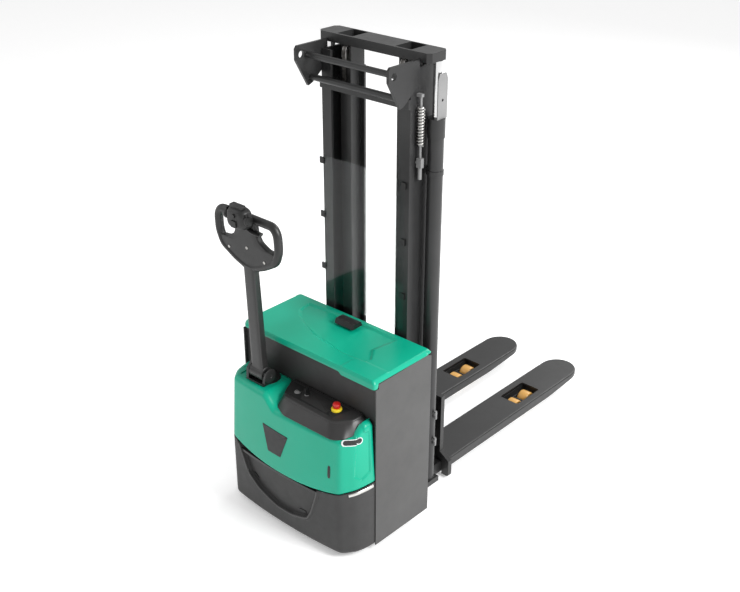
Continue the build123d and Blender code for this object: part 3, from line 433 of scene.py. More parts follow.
WEAR = {
    "panel": ["side_panels"],
    "moulding": ["front_wall", "console", "bumper_skirt"],
    "green": ["front_cowl", "battery_lid"],
    "mast": ["outer_rail_right", "outer_rail_left", "mast_crossmembers", "hoist_bracket",
             "lift_cylinders", "inner_rails", "inner_brace", "top_crossmember", "carriage_frame",
             "base_frame"],
    "fork": ["leg_right", "leg_left", "fork_right", "fork_left", "heel_plate"],
    "black": ["console_panel", "lid_latch", "screen_clips", "travel_levers", "lift_rocker",
              "horn_button", "belly_button"],
    "black_steel": ["steering_bracket", "key_switch", "castor_fork", "bogie_right", "bogie_left"],
    "tiller": ["tiller_shaft", "tiller_head", "control_pod"],
    "red": ["emergency_stop"],
    "zinc": ["carriage_rollers_lower", "carriage_rollers_upper", "mast_guide_rollers",
             "mast_rollers", "chain_pulleys"],
    "guard": ["cylinder_guards", "hydraulic_lines"],
    "cast": ["power_pack", "motor_controller", "drive_gearbox", "drive_motor"],
    "battery": ["battery"],
    "tyre": ["drive_wheel", "castor_wheel"],
    "amber": LOAD_ROLLERS,
    "chrome": ["lift_rods"],
    "chain": ["chain_rear_runs", "chain_front_runs", "chain_arches"],
    "clear": ["guard_screen"],
}


class STACKER_OT_finishes(bpy.types.Operator):
    """Mix every finish and put the right one on each piece of the frame"""
    bl_idname = "stacker.finishes"
    bl_label = "Mix Finishes"

    def execute(self, context):
        settings = context.scene.stacker_colours

        def tint(value):
            if isinstance(value, str):
                return tuple(getattr(settings, value))
            return (value,) * 3 if isinstance(value, float) else value
        for coat, (name, colour, rough, grain, depth, more) in COATS.items():
            second = tint(more["second"]) if "second" in more else None
            FINISHES[coat] = finish(name, tint(colour), rough, grain, depth,
                                    **{**more, "second": second})
        FINISHES["clear"] = clear_finish()
        for coat, nodes in WEAR.items():
            for node in nodes:
                mesh = frame["nodes"][node].data
                mesh.materials.clear()
                mesh.materials.append(get(coat))
        return {"FINISHED"}


# ---- shells
def from_panels(corners):
    """Plan corners in millimetres from the middle and the side panels' back, as metres here."""
    return np.array(corners, float) * MM + (0, PANEL_BACK)


def inside_by(x, z, corners):
    """How far each point (x, z) lies inside a closed polygon: the least distance to an edge,
    negative outside, where outside means an even number of crossings of a level line."""
    corners = np.asarray(corners, float)
    start, run = corners, np.roll(corners, -1, axis=0) - corners
    dx, dz = x[..., None] - start[:, 0], z[..., None] - start[:, 1]
    share = np.clip((dx * run[:, 0] + dz * run[:, 1]) / (run ** 2).sum(axis=1), 0, 1)
    away = np.hypot(dx - share * run[:, 0], dz - share * run[:, 1]).min(axis=-1)
    spans = (start[:, 1] > z[..., None]) != (np.roll(corners, -1, axis=0)[:, 1] > z[..., None])
    rise = np.where(np.abs(run[:, 1]) < 1e-12, 1e-12, run[:, 1])
    crossing = start[:, 0] + dz * run[:, 0] / rise
    inside = (spans & (x[..., None] < crossing)).sum(axis=-1) % 2 == 1
    return np.where(inside, away, -away)


def shell_outline(shells):
    """The front shells' plan from the right side panel round the nose to the left one: flank,
    rounded corner, bowed nose, and their mirror. Returns points and inward directions."""
    half, nose = SHELL_HIGH[0], SHELL_LOW[1]
    side = PANEL_FRONT - 0.001
    bow = np.linspace(1, -1, 9)
    front = [(shells.nose_half * t, nose + shells.nose_bow * 1.7 * t * t) for t in bow]
    flank = [(half, side), (half - 0.003, side - 0.04), (half - 0.018, side - 0.095)]
    mirror = [(-x, y) for x, y in flank[::-1]]
    plan = smooth_path([*flank, *front, *mirror], PLAN_STEPS, reach=shells.corner_reach)
    ahead = np.gradient(plan, axis=0)
    ahead /= np.linalg.norm(ahead, axis=1, keepdims=True)
    return plan, np.stack([ahead[:, 1], -ahead[:, 0]], axis=1)


def pushed_in(plan, inward, inset, z):
    """Points at a height that stand inside the plan by an inset."""
    return xyz(plan[:, 0] + inward[:, 0] * inset, plan[:, 1] + inward[:, 1] * inset, z)


def nose_at(plan, x):
    """The plan's front at a place across."""
    order = np.argsort(plan[:, 0])
    return np.interp(x, plan[order, 0], plan[order, 1])


def joint_height(shells, x):
    """Height of the joint between bumper and cowl: a parabola-like rise from middle to side."""
    share = np.clip(np.abs(x) / SHELL_HIGH[0], 0, 1) ** 2.2
    return shells.smile_mid + (shells.smile_side - shells.smile_mid) * share


BUMPER_PANEL = MM * np.array([(-304, 430), (-292, 337), (-222, 196), (-150, 150), (-34, 115),
                              (60, 115), (148, 137), (176, 190), (206, 289), (224, 430)])


def bumper_inset(x, y, z, top):
    """How far the bumper's face stands inside its plan: a turned-in foot, a thin seam at the top,
    a recess that is a smooth step of the distance inside a polygon, less a bead on its rim."""
    above_foot = (1 - (z - SHELL_LOW[2]) / 0.022).clip(0)
    tuck = 0.014 * (1 - np.sqrt(np.clip(1 - above_foot ** 2, 0, 1)))
    seam = 0.003 * step_up(z, top - 0.004, top)
    depth = inside_by(x, z, BUMPER_PANEL)
    ahead = y < PANEL_FRONT - 0.08
    recess = 0.015 * step_up(depth, 0, 0.006) - 0.0042 * bump_at(depth, -0.004, 0.003, 0.003)
    return 0.0045 + tuck + seam + recess * ahead


def face_plate(plan, place, half_wide, half_tall, tilt, thick, inset):
    """A small rounded plate on the nose: a superellipse in (along, up), each ring placed on the
    plan at its own x, pushed outwards by the plate's thickness."""
    outline = rotated(superellipse(48, 0.5, half_wide * MM, half_tall * MM), tilt)
    flat = pillow(outline, [(0, 0), (1, 0), (1, 0.6), (0.93, 1), (0, 1)])
    x, z = flat[..., 0] + place[0] * MM, flat[..., 1] + place[1] * MM
    return xyz(x, nose_at(plan, x) + inset(x, z) + LAID_ON - flat[..., 2] * thick, z)


def flank_strip(plan, inward, shells):
    """A bright strip that follows the joint round the right flank: an oval section carried
    along the plan just under the joint."""
    y = plan[:, 1]
    flank = (plan[:, 0] > 0) & (y > PANEL_FRONT - 0.125) & (y < PANEL_FRONT - 0.012)
    side = plan[flank] + inward[flank] * 0.0021
    path = raised(side, joint_height(shells, side[:, 0]) - 0.012)
    return capped(carried(path, circle(1.0, 12) * (0.0028, 0.0075), (0, 0, 1)))


class STACKER_OT_bumper(bpy.types.Operator):
    """Form the bumper: a recessed middle panel with a raised rim, over a turned-in foot"""
    bl_idname = "stacker.bumper"
    bl_label = "Form Bumper"

    def execute(self, context):
        """Offset inwards from the plan at each height; the recess is a smooth step of the
        distance inside a polygon, and its rim a narrow bump on that distance's zero."""
        shells = context.scene.stacker_shells
        plan, inward = shell_outline(shells)
        x, y = plan.T
        rise = np.concatenate([np.linspace(0, 0.06, 8)[:-1], np.linspace(0.06, 1, 84)])
        top = joint_height(shells, x)
        z = SHELL_LOW[2] + rise[:, None] * (top - SHELL_LOW[2])
        inset = bumper_inset(np.broadcast_to(x, z.shape), y, z, top)
        make_object("bumper_shell", pushed_in(plan, inward, inset, z), "moulding", "chassis",
                    ["bumper_skirt"], closed=(False, False), wall=shells.wall)

        def front(x, z):
            return bumper_inset(x, SHELL_LOW[1], z, NO_SEAM)
        # The vents are flat black plates laid on the face: their black is painted shade standing in for the dark
        # inside of the openings.
        vent_shade_plates = [face_plate(plan, place, half_wide, 8, tilt, 0.004, front)
                 for place, half_wide, tilt in (((-184, 192), 18, -0.6), ((110, 152), 21, 0.05))]
        make_object("bumper_vents", vent_shade_plates, "black", "chassis")
        # The rim is a real raised bead, but its paler panel grey, lighter than the moulding around it, is a
        # painted highlight along the bead.
        rim = smooth_path(BUMPER_PANEL, 260, reach=0.05)
        rim = rim[rim[:, 1] < joint_height(shells, rim[:, 0]) - 0.006]
        out = front(*rim.T).min() + 0.002
        path = xyz(rim[:, 0], nose_at(plan, rim[:, 0]) + out, rim[:, 1])
        make_object("bumper_rim", capped(carried(path, circle(0.0042, 12), (0, 1, 0))), "panel",
                    "chassis")
        make_object("bumper_strip", flank_strip(plan, inward, shells), "zinc", "chassis")
        return {"FINISHED"}


def cowl_lean(z):
    """How far the cowl leans back from the plan at a height."""
    low_end = 0.280
    return 0.001 + 0.021 * np.clip((z - low_end) / (COWL_TOP - low_end), 0, 1)


def cowl_inset(x, y, z, foot):
    """How far the cowl's face stands inside its plan: its lean, a thin lip at the foot and a
    flank facet that is a smooth step of the distance inside a polygon."""
    panel = MM * np.array([(14, 612), (75, 628), (92, 560), (104, 420), (70, 392), (20, 418)])
    across = np.where(np.abs(x) > 0.30, np.abs(y - PANEL_FRONT), 0.9)
    facet = 0.0055 * step_up(inside_by(across, z, panel), 0, 0.007)
    return cowl_lean(z) + facet + 0.003 * (1 - step_up(z, foot, foot + 0.006))


def rim_height(x, y):
    """Height of the cowl's rim: full at the tiller and at the side panels, lower at the console."""
    dip = step_up(x, -0.125, -0.045) * (1 - step_up(y, PANEL_FRONT - 0.105, PANEL_FRONT - 0.03))
    return COWL_TOP - 0.052 * dip


def flank_pill(plan, inward, place, half_long, half_tall, thick):
    """A pill-shaped plate on the right flank: a stadium outline in (distance along the plan,
    height), set on the leaning face and pushed outwards by its thickness."""
    outline = circle(half_tall, 64)
    outline[:, 0] += np.sign(circle(1.0, 64)[:, 0]) * (half_long - half_tall)
    outline = rotated(smooth_path(outline, 140, closed=True), 0.06)
    flat = pillow(outline, [(0, 0), (0.3, 0), (0.7, 0), (1, 0), (1, 0.7), (0.97, 1), (0.7, 1),
                            (0.35, 1), (0, 1)])
    s, z = place[0] + flat[..., 0], place[1] + flat[..., 1]
    px, py, nx, ny = (np.interp(s, distance_along(plan), c) for c in (*plan.T, *inward.T))
    out = flat[..., 2] * thick - cowl_inset(px, py, z, 0.0) - LAID_ON
    return xyz(px - nx * out, py - ny * out, z)


class STACKER_OT_cowl(bpy.types.Operator):
    """Form the green cowl with its shoulder, flank facets, slot, plain badge and label"""
    bl_idname = "stacker.cowl"
    bl_label = "Form Cowl"

    def execute(self, context):
        """The plan is offset inwards by the lean at each height, then by a quarter turn over the
        shoulder, then drawn straight to the wall; facets are smooth steps of the distance inside
        a polygon on the flank."""
        shells = context.scene.stacker_shells
        plan, inward = shell_outline(shells)
        x, y = plan.T
        foot, rim, radius = joint_height(shells, x) + 0.003, rim_height(x, y), 0.026
        wall_half, wall_drop = 0.388, 0.012
        z = foot + np.linspace(0, 1, 96)[:, None] * (rim - radius - foot)
        inset = cowl_inset(np.broadcast_to(x, z.shape), np.broadcast_to(y, z.shape), z, foot)
        face = pushed_in(plan, inward, inset, z)
        turn = np.linspace(0, np.pi / 2, 9)[1:, None]
        over = inset[-1] + radius * (1 - np.cos(turn))
        roll = pushed_in(plan, inward, over, rim - radius + radius * np.sin(turn))
        back = xyz(np.clip(roll[-1, :, 0], -wall_half, wall_half), WALL_FACE - 0.001,
                   np.maximum(rim, COWL_TOP - wall_drop))
        share = np.linspace(0, 1, 14)[1:, None, None]
        deck = roll[-1] + share * (back - roll[-1])
        deck[..., 2] = roll[-1, :, 2] + share[..., 0] ** 2 * (back[:, 2] - roll[-1, :, 2])
        make_object("cowl_shell", np.concatenate([face, roll, deck]), "green", "chassis",
                    ["front_cowl"], closed=(False, False), wall=shells.wall)

        # The slot is a thin black plate laid on the nose: its black is painted shade standing in for the dark
        # inside of the slot.
        slot = face_plate(plan, (271, 432), 7, 30, 0.0, 0.002, lambda x, z: cowl_lean(z))
        make_object("cowl_slot", slot, "black", "chassis")
        shield = smooth_path([(-117, 506), (40, 499), (-3, 384), (-80, 384)], 160, closed=True,
                             reach=14)
        centre = shield.mean(axis=0)
        flat = pillow((shield - centre) * MM, [(0, 0), (1, 0), (1, 0.7), (0.985, 1), (0, 1)])
        x, z = flat[..., 0] + centre[0] * MM, flat[..., 1] + centre[1] * MM
        y = nose_at(plan, x) + cowl_lean(z) + LAID_ON - flat[..., 2] * 0.0026
        make_object("cowl_badge", xyz(x, y, z), "badge", "chassis")
        for name, coat, slot, place, half_long, half_tall, thick in (
                ("cowl_label", "badge", "dark_shell", (0.104, 0.586), 0.047, 0.0115, 0.0030),
                ("cowl_label_rim", "pale", "green_shell", (0.106, 0.585), 0.054, 0.0155, 0.0016)):
            plate = flank_pill(plan, inward, place, half_long, half_tall, thick)
            make_object(name, plate, coat, "chassis")
        return {"FINISHED"}


class STACKER_OT_lid(bpy.types.Operator):
    """Form the battery lid with its shallow basin, rolled edges and deeper front edge"""
    bl_idname = "stacker.lid"
    bl_label = "Form Battery Lid"

    def execute(self, context):
        """Rings of a rounded rectangle are drawn out from the middle over the top, down the
        edge, under and back to the middle; the top's height is a crown less a basin, which is a
        smooth step of the distance inside a polygon."""
        cut = 0.026
        (x0, y0), (x1, y1) = LID_LOW[:2], LID_HIGH[:2]
        outline = smooth_path([(x0, y0 + cut), (x0 + cut, y0), (x1, y0), (x1, y1), (x0, y1)], 560,
                              closed=True, reach=0.030)
        want = (LID_HIGH - LID_LOW)[:2]
        centre = (LID_LOW[:2] + LID_HIGH[:2]) / 2
        outline = centre + (outline - centre) * want / (outline.max(axis=0) - outline.min(axis=0))
        top, crown, face_drop, thin = LID_HIGH[2] - 0.0005, 0.0035, 0.0022, 0.0075

        def slope_at(y):
            return (y - y1) / (y0 - y1)
        share = np.concatenate([np.linspace(0, 0.62, 30)[:-1], np.linspace(0.62, 0.958, 52)])
        rings = centre + share[:, None, None] * (outline - centre)
        x, y = rings[..., 0], rings[..., 1]
        basin = from_panels([(-290, -40), (-276, -117), (-235, -160), (-140, -205), (-60, -238),
                             (37, -250), (120, -268), (255, -262), (264, -222), (215, -160),
                             (236, -30), (100, -24), (-120, -24)])
        slope = slope_at(y)
        step = 0.0022 * step_up(x, 0.198, 0.212) * step_up(slope, 0.70, 0.74)
        hollow = thin * step_up(inside_by(x, y, basin), 0, 0.013)
        z = top - crown * slope - hollow + step - face_drop
        front = step_up(-outline[:, 1], -y0 - 0.0265, -y0 - 0.0215)
        rear = step_up(outline[:, 1], y1 - 0.030, y1 - 0.020)
        deep = 0.026 + 0.012 * step_up(outline[:, 0], 0.195, 0.215)
        reach = 0.016 - 0.004 * rear + (deep - 0.016) * front
        turn = np.linspace(0, 1, 7)[1:, None]
        edge = raised(rings[-1] + (turn[..., None] * 0.94) * (outline - rings[-1]),
                      z[-1] - (0.0145 - 0.0045 * rear) * turn ** 1.6)
        last = edge[-1, :, 2]
        down = np.linspace(0, 1, 8)[1:, None]
        skirt_z = last - down * (last - (top - 0.003 - reach))
        inner = centre + (outline - centre) * (want - 0.010) / want
        fall = top - thin - crown * slope_at(inner[:, 1])
        basin_floor = np.full(len(last), top - 0.014)
        under_z = np.stack([skirt_z[-1], last + rear * (fall - last), fall, basin_floor + 0.0005,
                            basin_floor, basin_floor])
        under = centre + np.array([1, 1, 0.93, 0.80, 0.5, 0])[:, None, None] * (inner - centre)
        grid = np.concatenate([raised(rings, z), edge, xyz(outline[:, 0], outline[:, 1], skirt_z),
                               raised(under, under_z)])
        make_object("lid_shell", grid, "green", "lid", ["battery_lid"], sharp=0.9)
        return {"FINISHED"}


def deck_fall(y):
    """How far the console's deck has dropped at a place ahead of the wall."""
    return 0.012 * np.clip((WALL_FACE - y) / 0.11, 0, 1)


class STACKER_OT_console(bpy.types.Operator):
    """Form the console pod and its inlay"""
    bl_idname = "stacker.console"
    bl_label = "Form Console"

    def execute(self, context):
        """The pod is rings between an upper outline near the wall and a larger lower outline on
        the nose, with rounded shoulders; the inlay is a thin plate that follows the deck."""
        top = high("console")[2]
        upper, lower = (smooth_path(from_panels(corners), 300, closed=True, reach=0.030)
                        for corners in (
            [(-96, -334), (318, -334), (312, -392), (262, -440), (240, -452), (-32, -446),
             (-70, -400)],
            [(-100, -334), (356, -334), (350, -380), (322, -462), (288, -490), (276, -494),
             (10, -497), (-60, -470), (-92, -400)]))
        for outline in (upper, lower):
            outline[:, 1] = np.minimum(outline[:, 1], WALL_FACE - 0.0005)
        centre = upper.mean(axis=0)
        begin = 0.10
        t = np.linspace(0, 1, 30)[:, None]
        turn = np.linspace(0, np.pi / 2, 7)[:, None]
        out = np.linspace(0, 1, 9)[:, None]
        flat = centre + 0.955 * out[..., None] * (upper - centre)
        flat_z = top - 0.002 - out * deck_fall(upper[:, 1])
        soft = flat[-1] + np.sin(turn)[..., None] * (upper + begin * (lower - upper) - flat[-1])
        soft_z = flat_z[-1] - 0.008 * (1 - np.cos(turn))
        wall = upper + (begin + (1 - begin) * t[..., None]) * (lower - upper)
        low_z = 0.598 + 0.030 * step_up(lower[:, 1], PANEL_FRONT - 0.09, PANEL_FRONT)
        wall_z = soft_z[-1] + t ** 1.15 * (low_z - soft_z[-1])
        under = centre + np.linspace(1, 0, 3)[:, None, None] * (lower - centre)
        grid = np.concatenate([raised(flat, flat_z), raised(soft, soft_z), raised(wall, wall_z),
                               raised(under, low_z - 0.004)])
        make_object("console_pod", grid, "console", "chassis", ["console"], sharp=0.9)
        inset = smooth_path(from_panels([(-88, -352), (262, -352), (234, -432), (-50, -432)]), 200,
                            closed=True, reach=0.012)
        place = inset.mean(axis=0)
        flat = pillow(inset - place, [(0, 0), (0.5, 0), (1, 0), (1, 0.6), (0.985, 1), (0.5, 1),
                                      (0, 1)])
        x, y = flat[..., 0] + place[0], flat[..., 1] + place[1]
        inlay = xyz(x, y, top - 0.0030 - deck_fall(y) + flat[..., 2] * 0.0035)
        make_object("console_inlay", inlay, "black", "chassis", ["console_panel"])
        return {"FINISHED"}


class STACKER_OT_controls(bpy.types.Operator):
    """Turn the stop button with its yellow ring, the key barrel and the round lamp"""
    bl_idname = "stacker.controls"
    bl_label = "Turn Console Controls"

    def execute(self, context):
        """Each control is a profile of radius and height turned round an upright axis."""
        stop, key = middle("emergency_stop"), middle("key_switch")
        lamp = from_panels([(-8, -392)])[0]
        base, deck = high("emergency_stop")[2] - 0.024, high("console")[2] - 0.008
        controls = (
            ("stop_cap", stop, base, 40, "red", "stop_button", "stop_red", ["emergency_stop"],
             [(0, 0), (14, 0), (16.5, 4), (16.5, 16), (15, 21), (11, 23.4), (5, 24), (0, 24)]),
            ("stop_ring", stop, base, 40, "yellow", "chassis", "stop_red", (),
             [(0, -14), (22.5, -14), (22.8, -3), (21, 0), (15, 0.4), (0, 0.4)]),
            ("key_barrel", key, deck, 36, "guard", "key", "key_metal", (),
             [(0, -20), (12.5, -20), (12.5, 2), (11, 4), (8.5, 4), (8, 2), (0, 2)]),
            ("gauge_lamp", lamp, deck, 40, "guard", "chassis", "key_metal", (),
             [(0, -10), (16, -10), (16, 1), (14.5, 2.8), (12.5, 2.8), (12, 1.5), (0, 3.5)]))
        for name, place, start, steps, coat, body, slot, stands_for, pairs in controls:
            shape = turned(profile(pairs, start), steps, "z", (*place[:2], 0))
            make_object(name, shape, coat, body, stands_for)
        return {"FINISHED"}


# ---- tiller
class STACKER_OT_tiller(bpy.types.Operator):
    """Form the tiller head: a looped grip and a flat paddle with screws"""
    bl_idname = "stacker.tiller"
    bl_label = "Form Tiller Head"

    def execute(self, context):
        """The grip is a round section carried along a smoothed closed path; the paddle is a
        rounded outline drawn in towards its middle over rounded edges; all are tipped to the
        tiller's lean."""
        sizes = context.scene.stacker_tiller
        across, face = TILLER[:2]
        reach = sizes.half - sizes.grip
        top = high("tiller_head")[2] - sizes.grip - 0.002
        foot = low("tiller_head")[2] + sizes.grip + 0.004

        def both_sides(half, count, reach):
            half = np.array(half)
            return smooth_path([*half, *(half[::-1] * (-1, 1))], count, closed=True, reach=reach)
        loop = both_sides([
            (0.04, top + 0.001), (reach - 0.020, top), (reach, top - 0.030),
            (reach + 0.001, top - 0.100), (reach - 0.020, top - 0.155), (0.080, foot + 0.022),
            (0.02, foot)], 240, 0.060)
        path = xyz(loop[:, 0] + across, face, loop[:, 1])
        tube = carried(path, circle(sizes.grip, 20) * (1, 1.05), (0, 1, 0), closed=True)
        make_object("tiller_grip", leaning(tube), "tiller", "tiller",
                    ["tiller_head"], closed=(True, True))
        web = both_sides([
            (0.052, top + 0.010), (0.058, top - 0.050), (0.076, top - 0.088),
            (0.120, top - 0.112), (reach - 0.010, top - 0.116), (reach - 0.026, top - 0.160),
            (0.085, foot + 0.012), (0.030, foot - 0.014)], 220, 0.045)
        middle_height = foot + 0.085
        shape = web - (0, middle_height)
        flat = pillow(shape - shape.mean(axis=0), edge_rise(0.027, 0.007, 0.12))
        flat[..., 1] += shape.mean(axis=0)[1]
        paddle = set_upright(flat, (across, face + 0.012, middle_height))
        make_object("tiller_paddle", leaning(paddle), "tiller", "tiller", sharp=1.2)
        screw = profile([(0, -4), (6.2, -4), (6.2, 1.2), (5, 2.2), (3, 2.2), (2.6, 0.6), (0, 0.6)])
        screws = [leaning(turned(screw * (1, -1), 24, "y", (across + x, face - 0.0150, foot + z)))
                  for x, z in ((-0.110, 0.062), (0.0, 0.088), (0.100, 0.052))]
        make_object("tiller_screws", screws, "zinc", "tiller")
        return {"FINISHED"}


class STACKER_OT_pod(bpy.types.Operator):
    """Form the control pod with its cheeks and the fin below it"""
    bl_idname = "stacker.pod"
    bl_label = "Form Control Pod"

    def execute(self, context):
        """A superellipse outline is swollen outwards over a rounded profile; the fin is a
        flattened round section carried along a curved path."""
        box_low, box_high = low("control_pod"), high("control_pod")
        centre, half = middle("control_pod"), half_size("control_pod")
        deep = 2 * half[1] * 0.98
        turn = np.linspace(0, np.pi / 2, 10)
        rise = [(0, 0), (0.4, 0), (0.86, 0),
                *[(0.86 + 0.14 * np.sin(a), 0.21 * deep * (1 - np.cos(a))) for a in turn],
                *[(0.62 + 0.38 * np.cos(a), deep * (0.45 + 0.53 * np.sin(a))) for a in turn],
                (0.3, deep * 0.995), (0, deep)]
        flat = pillow(superellipse(96, 0.62, half[0] * 0.99, half[2] * 0.99), rise)
        make_object("pod_shell", set_upright(flat, (centre[0], box_high[1], centre[2])), "tiller",
                    "tiller", ["control_pod"], sharp=1.2)
        cheek = profile([(0, 0), (19, 0), (20.5, 3), (20.5, 12), (18, 15.5), (8, 17), (0, 17)],
                        half[0] * 0.93)
        cheeks = [turned(cheek * (1, side), 40, "x", centre + (0, -0.002, 0.004))
                  for side in (-1, 1)]
        make_object("pod_wheels", cheeks, "black", "travel_control")
        start = np.array([centre[0], box_high[1], box_low[2]])
        path = smooth_path(start + MM * np.array([(10, 6, 4), (45, 2, -10), (85, 10, -16)]), 40,
                           reach=0.05)
        fin = capped(carried(path, circle(1.0, 16) * (0.008, 0.016), (0, 1, 0)))
        make_object("pod_fin", fin, "tiller", "tiller")
        return {"FINISHED"}


class STACKER_OT_shaft(bpy.types.Operator):
    """Form the tiller shaft and its round knuckle"""
    bl_idname = "stacker.shaft"
    bl_label = "Form Tiller Shaft"

    def execute(self, context):
        """A rounded rectangle that narrows slightly upwards is stacked between the two ends and
        tipped to the lean; the knuckle is a profile turned round the tilt axis."""
        foot, top = low("tiller_shaft")[2] + 0.030, high("tiller_shaft")[2] + 0.030
        section = superellipse(64, 0.45, 1, 1)
        share = np.linspace(0, 1, 40)[:, None]
        wide = 0.0345 - 0.003 * share + 0.0025 * bump_at(share, 0, 0.04, 0.10)
        body = xyz(TILLER[0] + section[:, 0] * wide,
                   TILLER[1] + section[:, 1] * (0.0215 - 0.002 * share),
                   foot + share * (top - foot - 0.004))
        make_object("shaft_body", capped(leaning(body)), "shaft", "tiller",
                    ["tiller_shaft"])
        half = half_size("tiller_shaft")[0]
        outer = high("steering_bracket")[0] - TILLER[0]
        drum = [(0, -half), (0.029, -half), (0.0325, 0.004 - half), (0.0325, half - 0.004),
                (0.029, half), (0.014, half), (0.013, half - 0.003), (0, half - 0.003)]
        screw = profile([(0, -4), (7.5, -4), (7.5, 0.5), (6, 1.5), (0, 1.5)], half)
        cover = profile([(0, -4), (31, -4), (32, 0), (31, 1.3), (28, 2), (10, 2), (8.5, 0.6),
                         (0, 0.6)], outer)
        knuckle = [turned(shape, steps, "x", TILLER)
                   for shape, steps in ((drum, 56), (screw, 24), (cover, 56))]
        make_object("shaft_knuckle", knuckle, "shaft", "tiller")
        return {"FINISHED"}


# ---- wheels and mast
class STACKER_OT_rollers(bpy.types.Operator):
    """Turn the amber load rollers and the two floor wheels"""
    bl_idname = "stacker.rollers"
    bl_label = "Turn Rollers and Wheels"

    def execute(self, context):
        """Every roller is a closed profile of radius and width turned round its own axle."""
        def wheel(name, node, shape, steps, coat, replaces=()):
            make_object(name, turned(shape, steps, "x", middle(node)), coat, node, replaces,
                        closed=(True, True))
        for node in LOAD_ROLLERS:
            w, _, r = half_size(node)
            tread = mirrored([(r * 0.62, -w), (r * 0.90, -w), (r * 0.975, 0.003 - w),
                              (r, 0.008 - w)])
            wheel("tread_" + node[12:], node, [*tread, (r * 0.60, 0)], 72, "amber",
                  [node])
            hub = mirrored([(0.0085, 0.002 - w), (0.014, 0.002 - w), (0.016, 0.006 - w),
                            (r * 0.61, 0.006 - w), (r * 0.63, 0.001 - w)])
            wheel("hub_" + node[12:], node, hub, 48, "zinc")
        for node, grooves in (("drive_wheel", 3), ("castor_wheel", 0)):
            w, _, r = half_size(node)
            soft = 0.007
            across = np.linspace(-w, w, 41)
            edge = np.clip((np.abs(across) - (w - soft)) / soft, 0, 1)
            radius = r - soft * (1 - np.sqrt(1 - edge ** 2))
            if grooves:
                radius -= 0.0025 * (np.cos(across / w * np.pi * grooves) > 0.85) * (edge == 0)
            tyre = [(r * 0.72, -w), *zip(radius, across), (r * 0.72, w), (r * 0.70, 0)]
            wheel(node + "_tyre", node, tyre, 96, "tyre", [node])
            hub = mirrored([(0.0105, -w * 0.8), (0.026, -w * 0.8), (0.030, -w * 0.35),
                            (r * 0.60, -w * 0.35), (r * 0.66, -w * 0.92), (r * 0.73, -w * 0.92)])
            wheel(node + "_hub", node, hub, 72, "cast")
        return {"FINISHED"}


def leaf_chain(x, y, z0, z1):
    """A leaf chain run: a section with five plate ridges across, whose depth follows the cosine
    of the height over one pitch so that each link has a waist."""
    z = np.linspace(z0, z1, int((z1 - z0) / CHAIN_PITCH * 8) + 1)[:, None]
    across = np.linspace(-CHAIN_HALF, CHAIN_HALF, 21)
    depth = 0.0030 + 0.0009 * (0.5 + 0.5 * np.cos(across / CHAIN_HALF * np.pi * 2.5))
    side, face = np.concatenate([(across, depth), (across[::-1], -depth[::-1])], axis=1)
    swell = 0.82 + 0.18 * np.cos((z - z0) / CHAIN_PITCH * TAU)
    return capped(xyz(x + side, y + face * swell, z))


class STACKER_OT_mast_fittings(bpy.types.Operator):
    """Wind the bright spring guard, lay the leaf chains and set the bolts on the mast"""
    bl_idname = "stacker.mast_fittings"
    bl_label = "Fit Mast Details"

    def execute(self, context):
        """The guard is a round wire carried along a helix; each chain run is a ridged strip
        whose depth swells at every link; bolts are six-sided profiles turned round their axes."""
        turns, steps, coil, foot, tall = 13, 28, 0.0125, 1.692, 0.156
        share = np.linspace(0, 1, turns * steps)
        angle = share * turns * TAU
        wire = xyz(0.258 + coil * np.cos(angle), PANEL_BACK + 0.062 + coil * np.sin(angle),
                   foot + share * tall)
        guard = capped(carried(wire, circle(0.0034, 10), (0, 0, 1)))
        make_object("spring_guard", guard, "zinc", body_of_node("hydraulic_lines"))
        chains = (("rear", "chain_rear_runs", "chassis", "inner_mast"),
                  ("front", "chain_front_runs", "inner_mast", "carriage"))
        for name, node, below, above in chains:
            start, end = low(node), high(node)
            runs = [leaf_chain(x, middle(node)[1], start[2], end[2])
                    for x in (start[0] + CHAIN_HALF, end[0] - CHAIN_HALF)]
            piece = make_object("leaf_chain_" + name, runs, "chain", below, [node])
            piece.parent = None
            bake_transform(piece)
        in_from_edge = 0.022
        plate_low, plate_high = low("top_crossmember"), high("top_crossmember")
        bolt = profile([(0, -12), (9.5, -12), (9.5, -4.5), (8.5, -3), (0, -3)])
        bolts = [turned(bolt, 6, "z", (x, y, plate_high[2] + 0.0029))
                 for x in (plate_low[0] + in_from_edge, plate_high[0] - in_from_edge)
                 for y in (plate_low[1] + in_from_edge, plate_high[1] - in_from_edge)]
        make_object("top_bolts", bolts, "zinc", "inner_mast", sharp=0.3)
        box_low, box_high = low("cylinder_guards"), high("cylinder_guards")
        bolt = profile([(0, 0), (7.5, 0), (7.5, -5), (0, -6)])
        bolts = [turned(bolt * (1, side), 6, "x",
                        (x - side * 0.0001, middle("cylinder_guards")[1], z))
                 for side, x in ((1, box_high[0]), (-1, box_low[0]))
                 for z in (box_low[2] + in_from_edge, box_high[2] - 0.024)]
        make_object("guard_bolts", bolts, "black", body_of_node("cylinder_guards"),
                    sharp=0.3)
        return {"FINISHED"}


class STACKER_OT_softened(bpy.types.Operator):
    """Round the edges of the carried-over frame pieces that show"""
    bl_idname = "stacker.softened"
    bl_label = "Soften Frame Edges"

    def execute(self, context):
        widths = {"lid_latch": 6, "travel_levers": 3, "lift_rocker": 3, "horn_button": 2,
                  "steering_bracket": 3, "screen_clips": 1, "hoist_bracket": 2,
                  "cylinder_guards": 0.8}
        for node, width in widths.items():
            soft = frame["nodes"][node].modifiers.new("edge", "BEVEL")
            soft.width, soft.segments, soft.limit_method = width * MM, 3, "ANGLE"
            soft.angle_limit = np.radians(35)
        return {"FINISHED"}


# ---- stage
def aimed(place, target):
    """A matrix at place whose -Z looks at target, with +Y as near up as it can be."""
    back = (place - target).normalized()
    across = Vector((0, 0, 1)).cross(back).normalized()
    up = back.cross(across)
    turn = Matrix((across, up, back)).transposed().to_4x4()
    return Matrix.Translation(place) @ turn


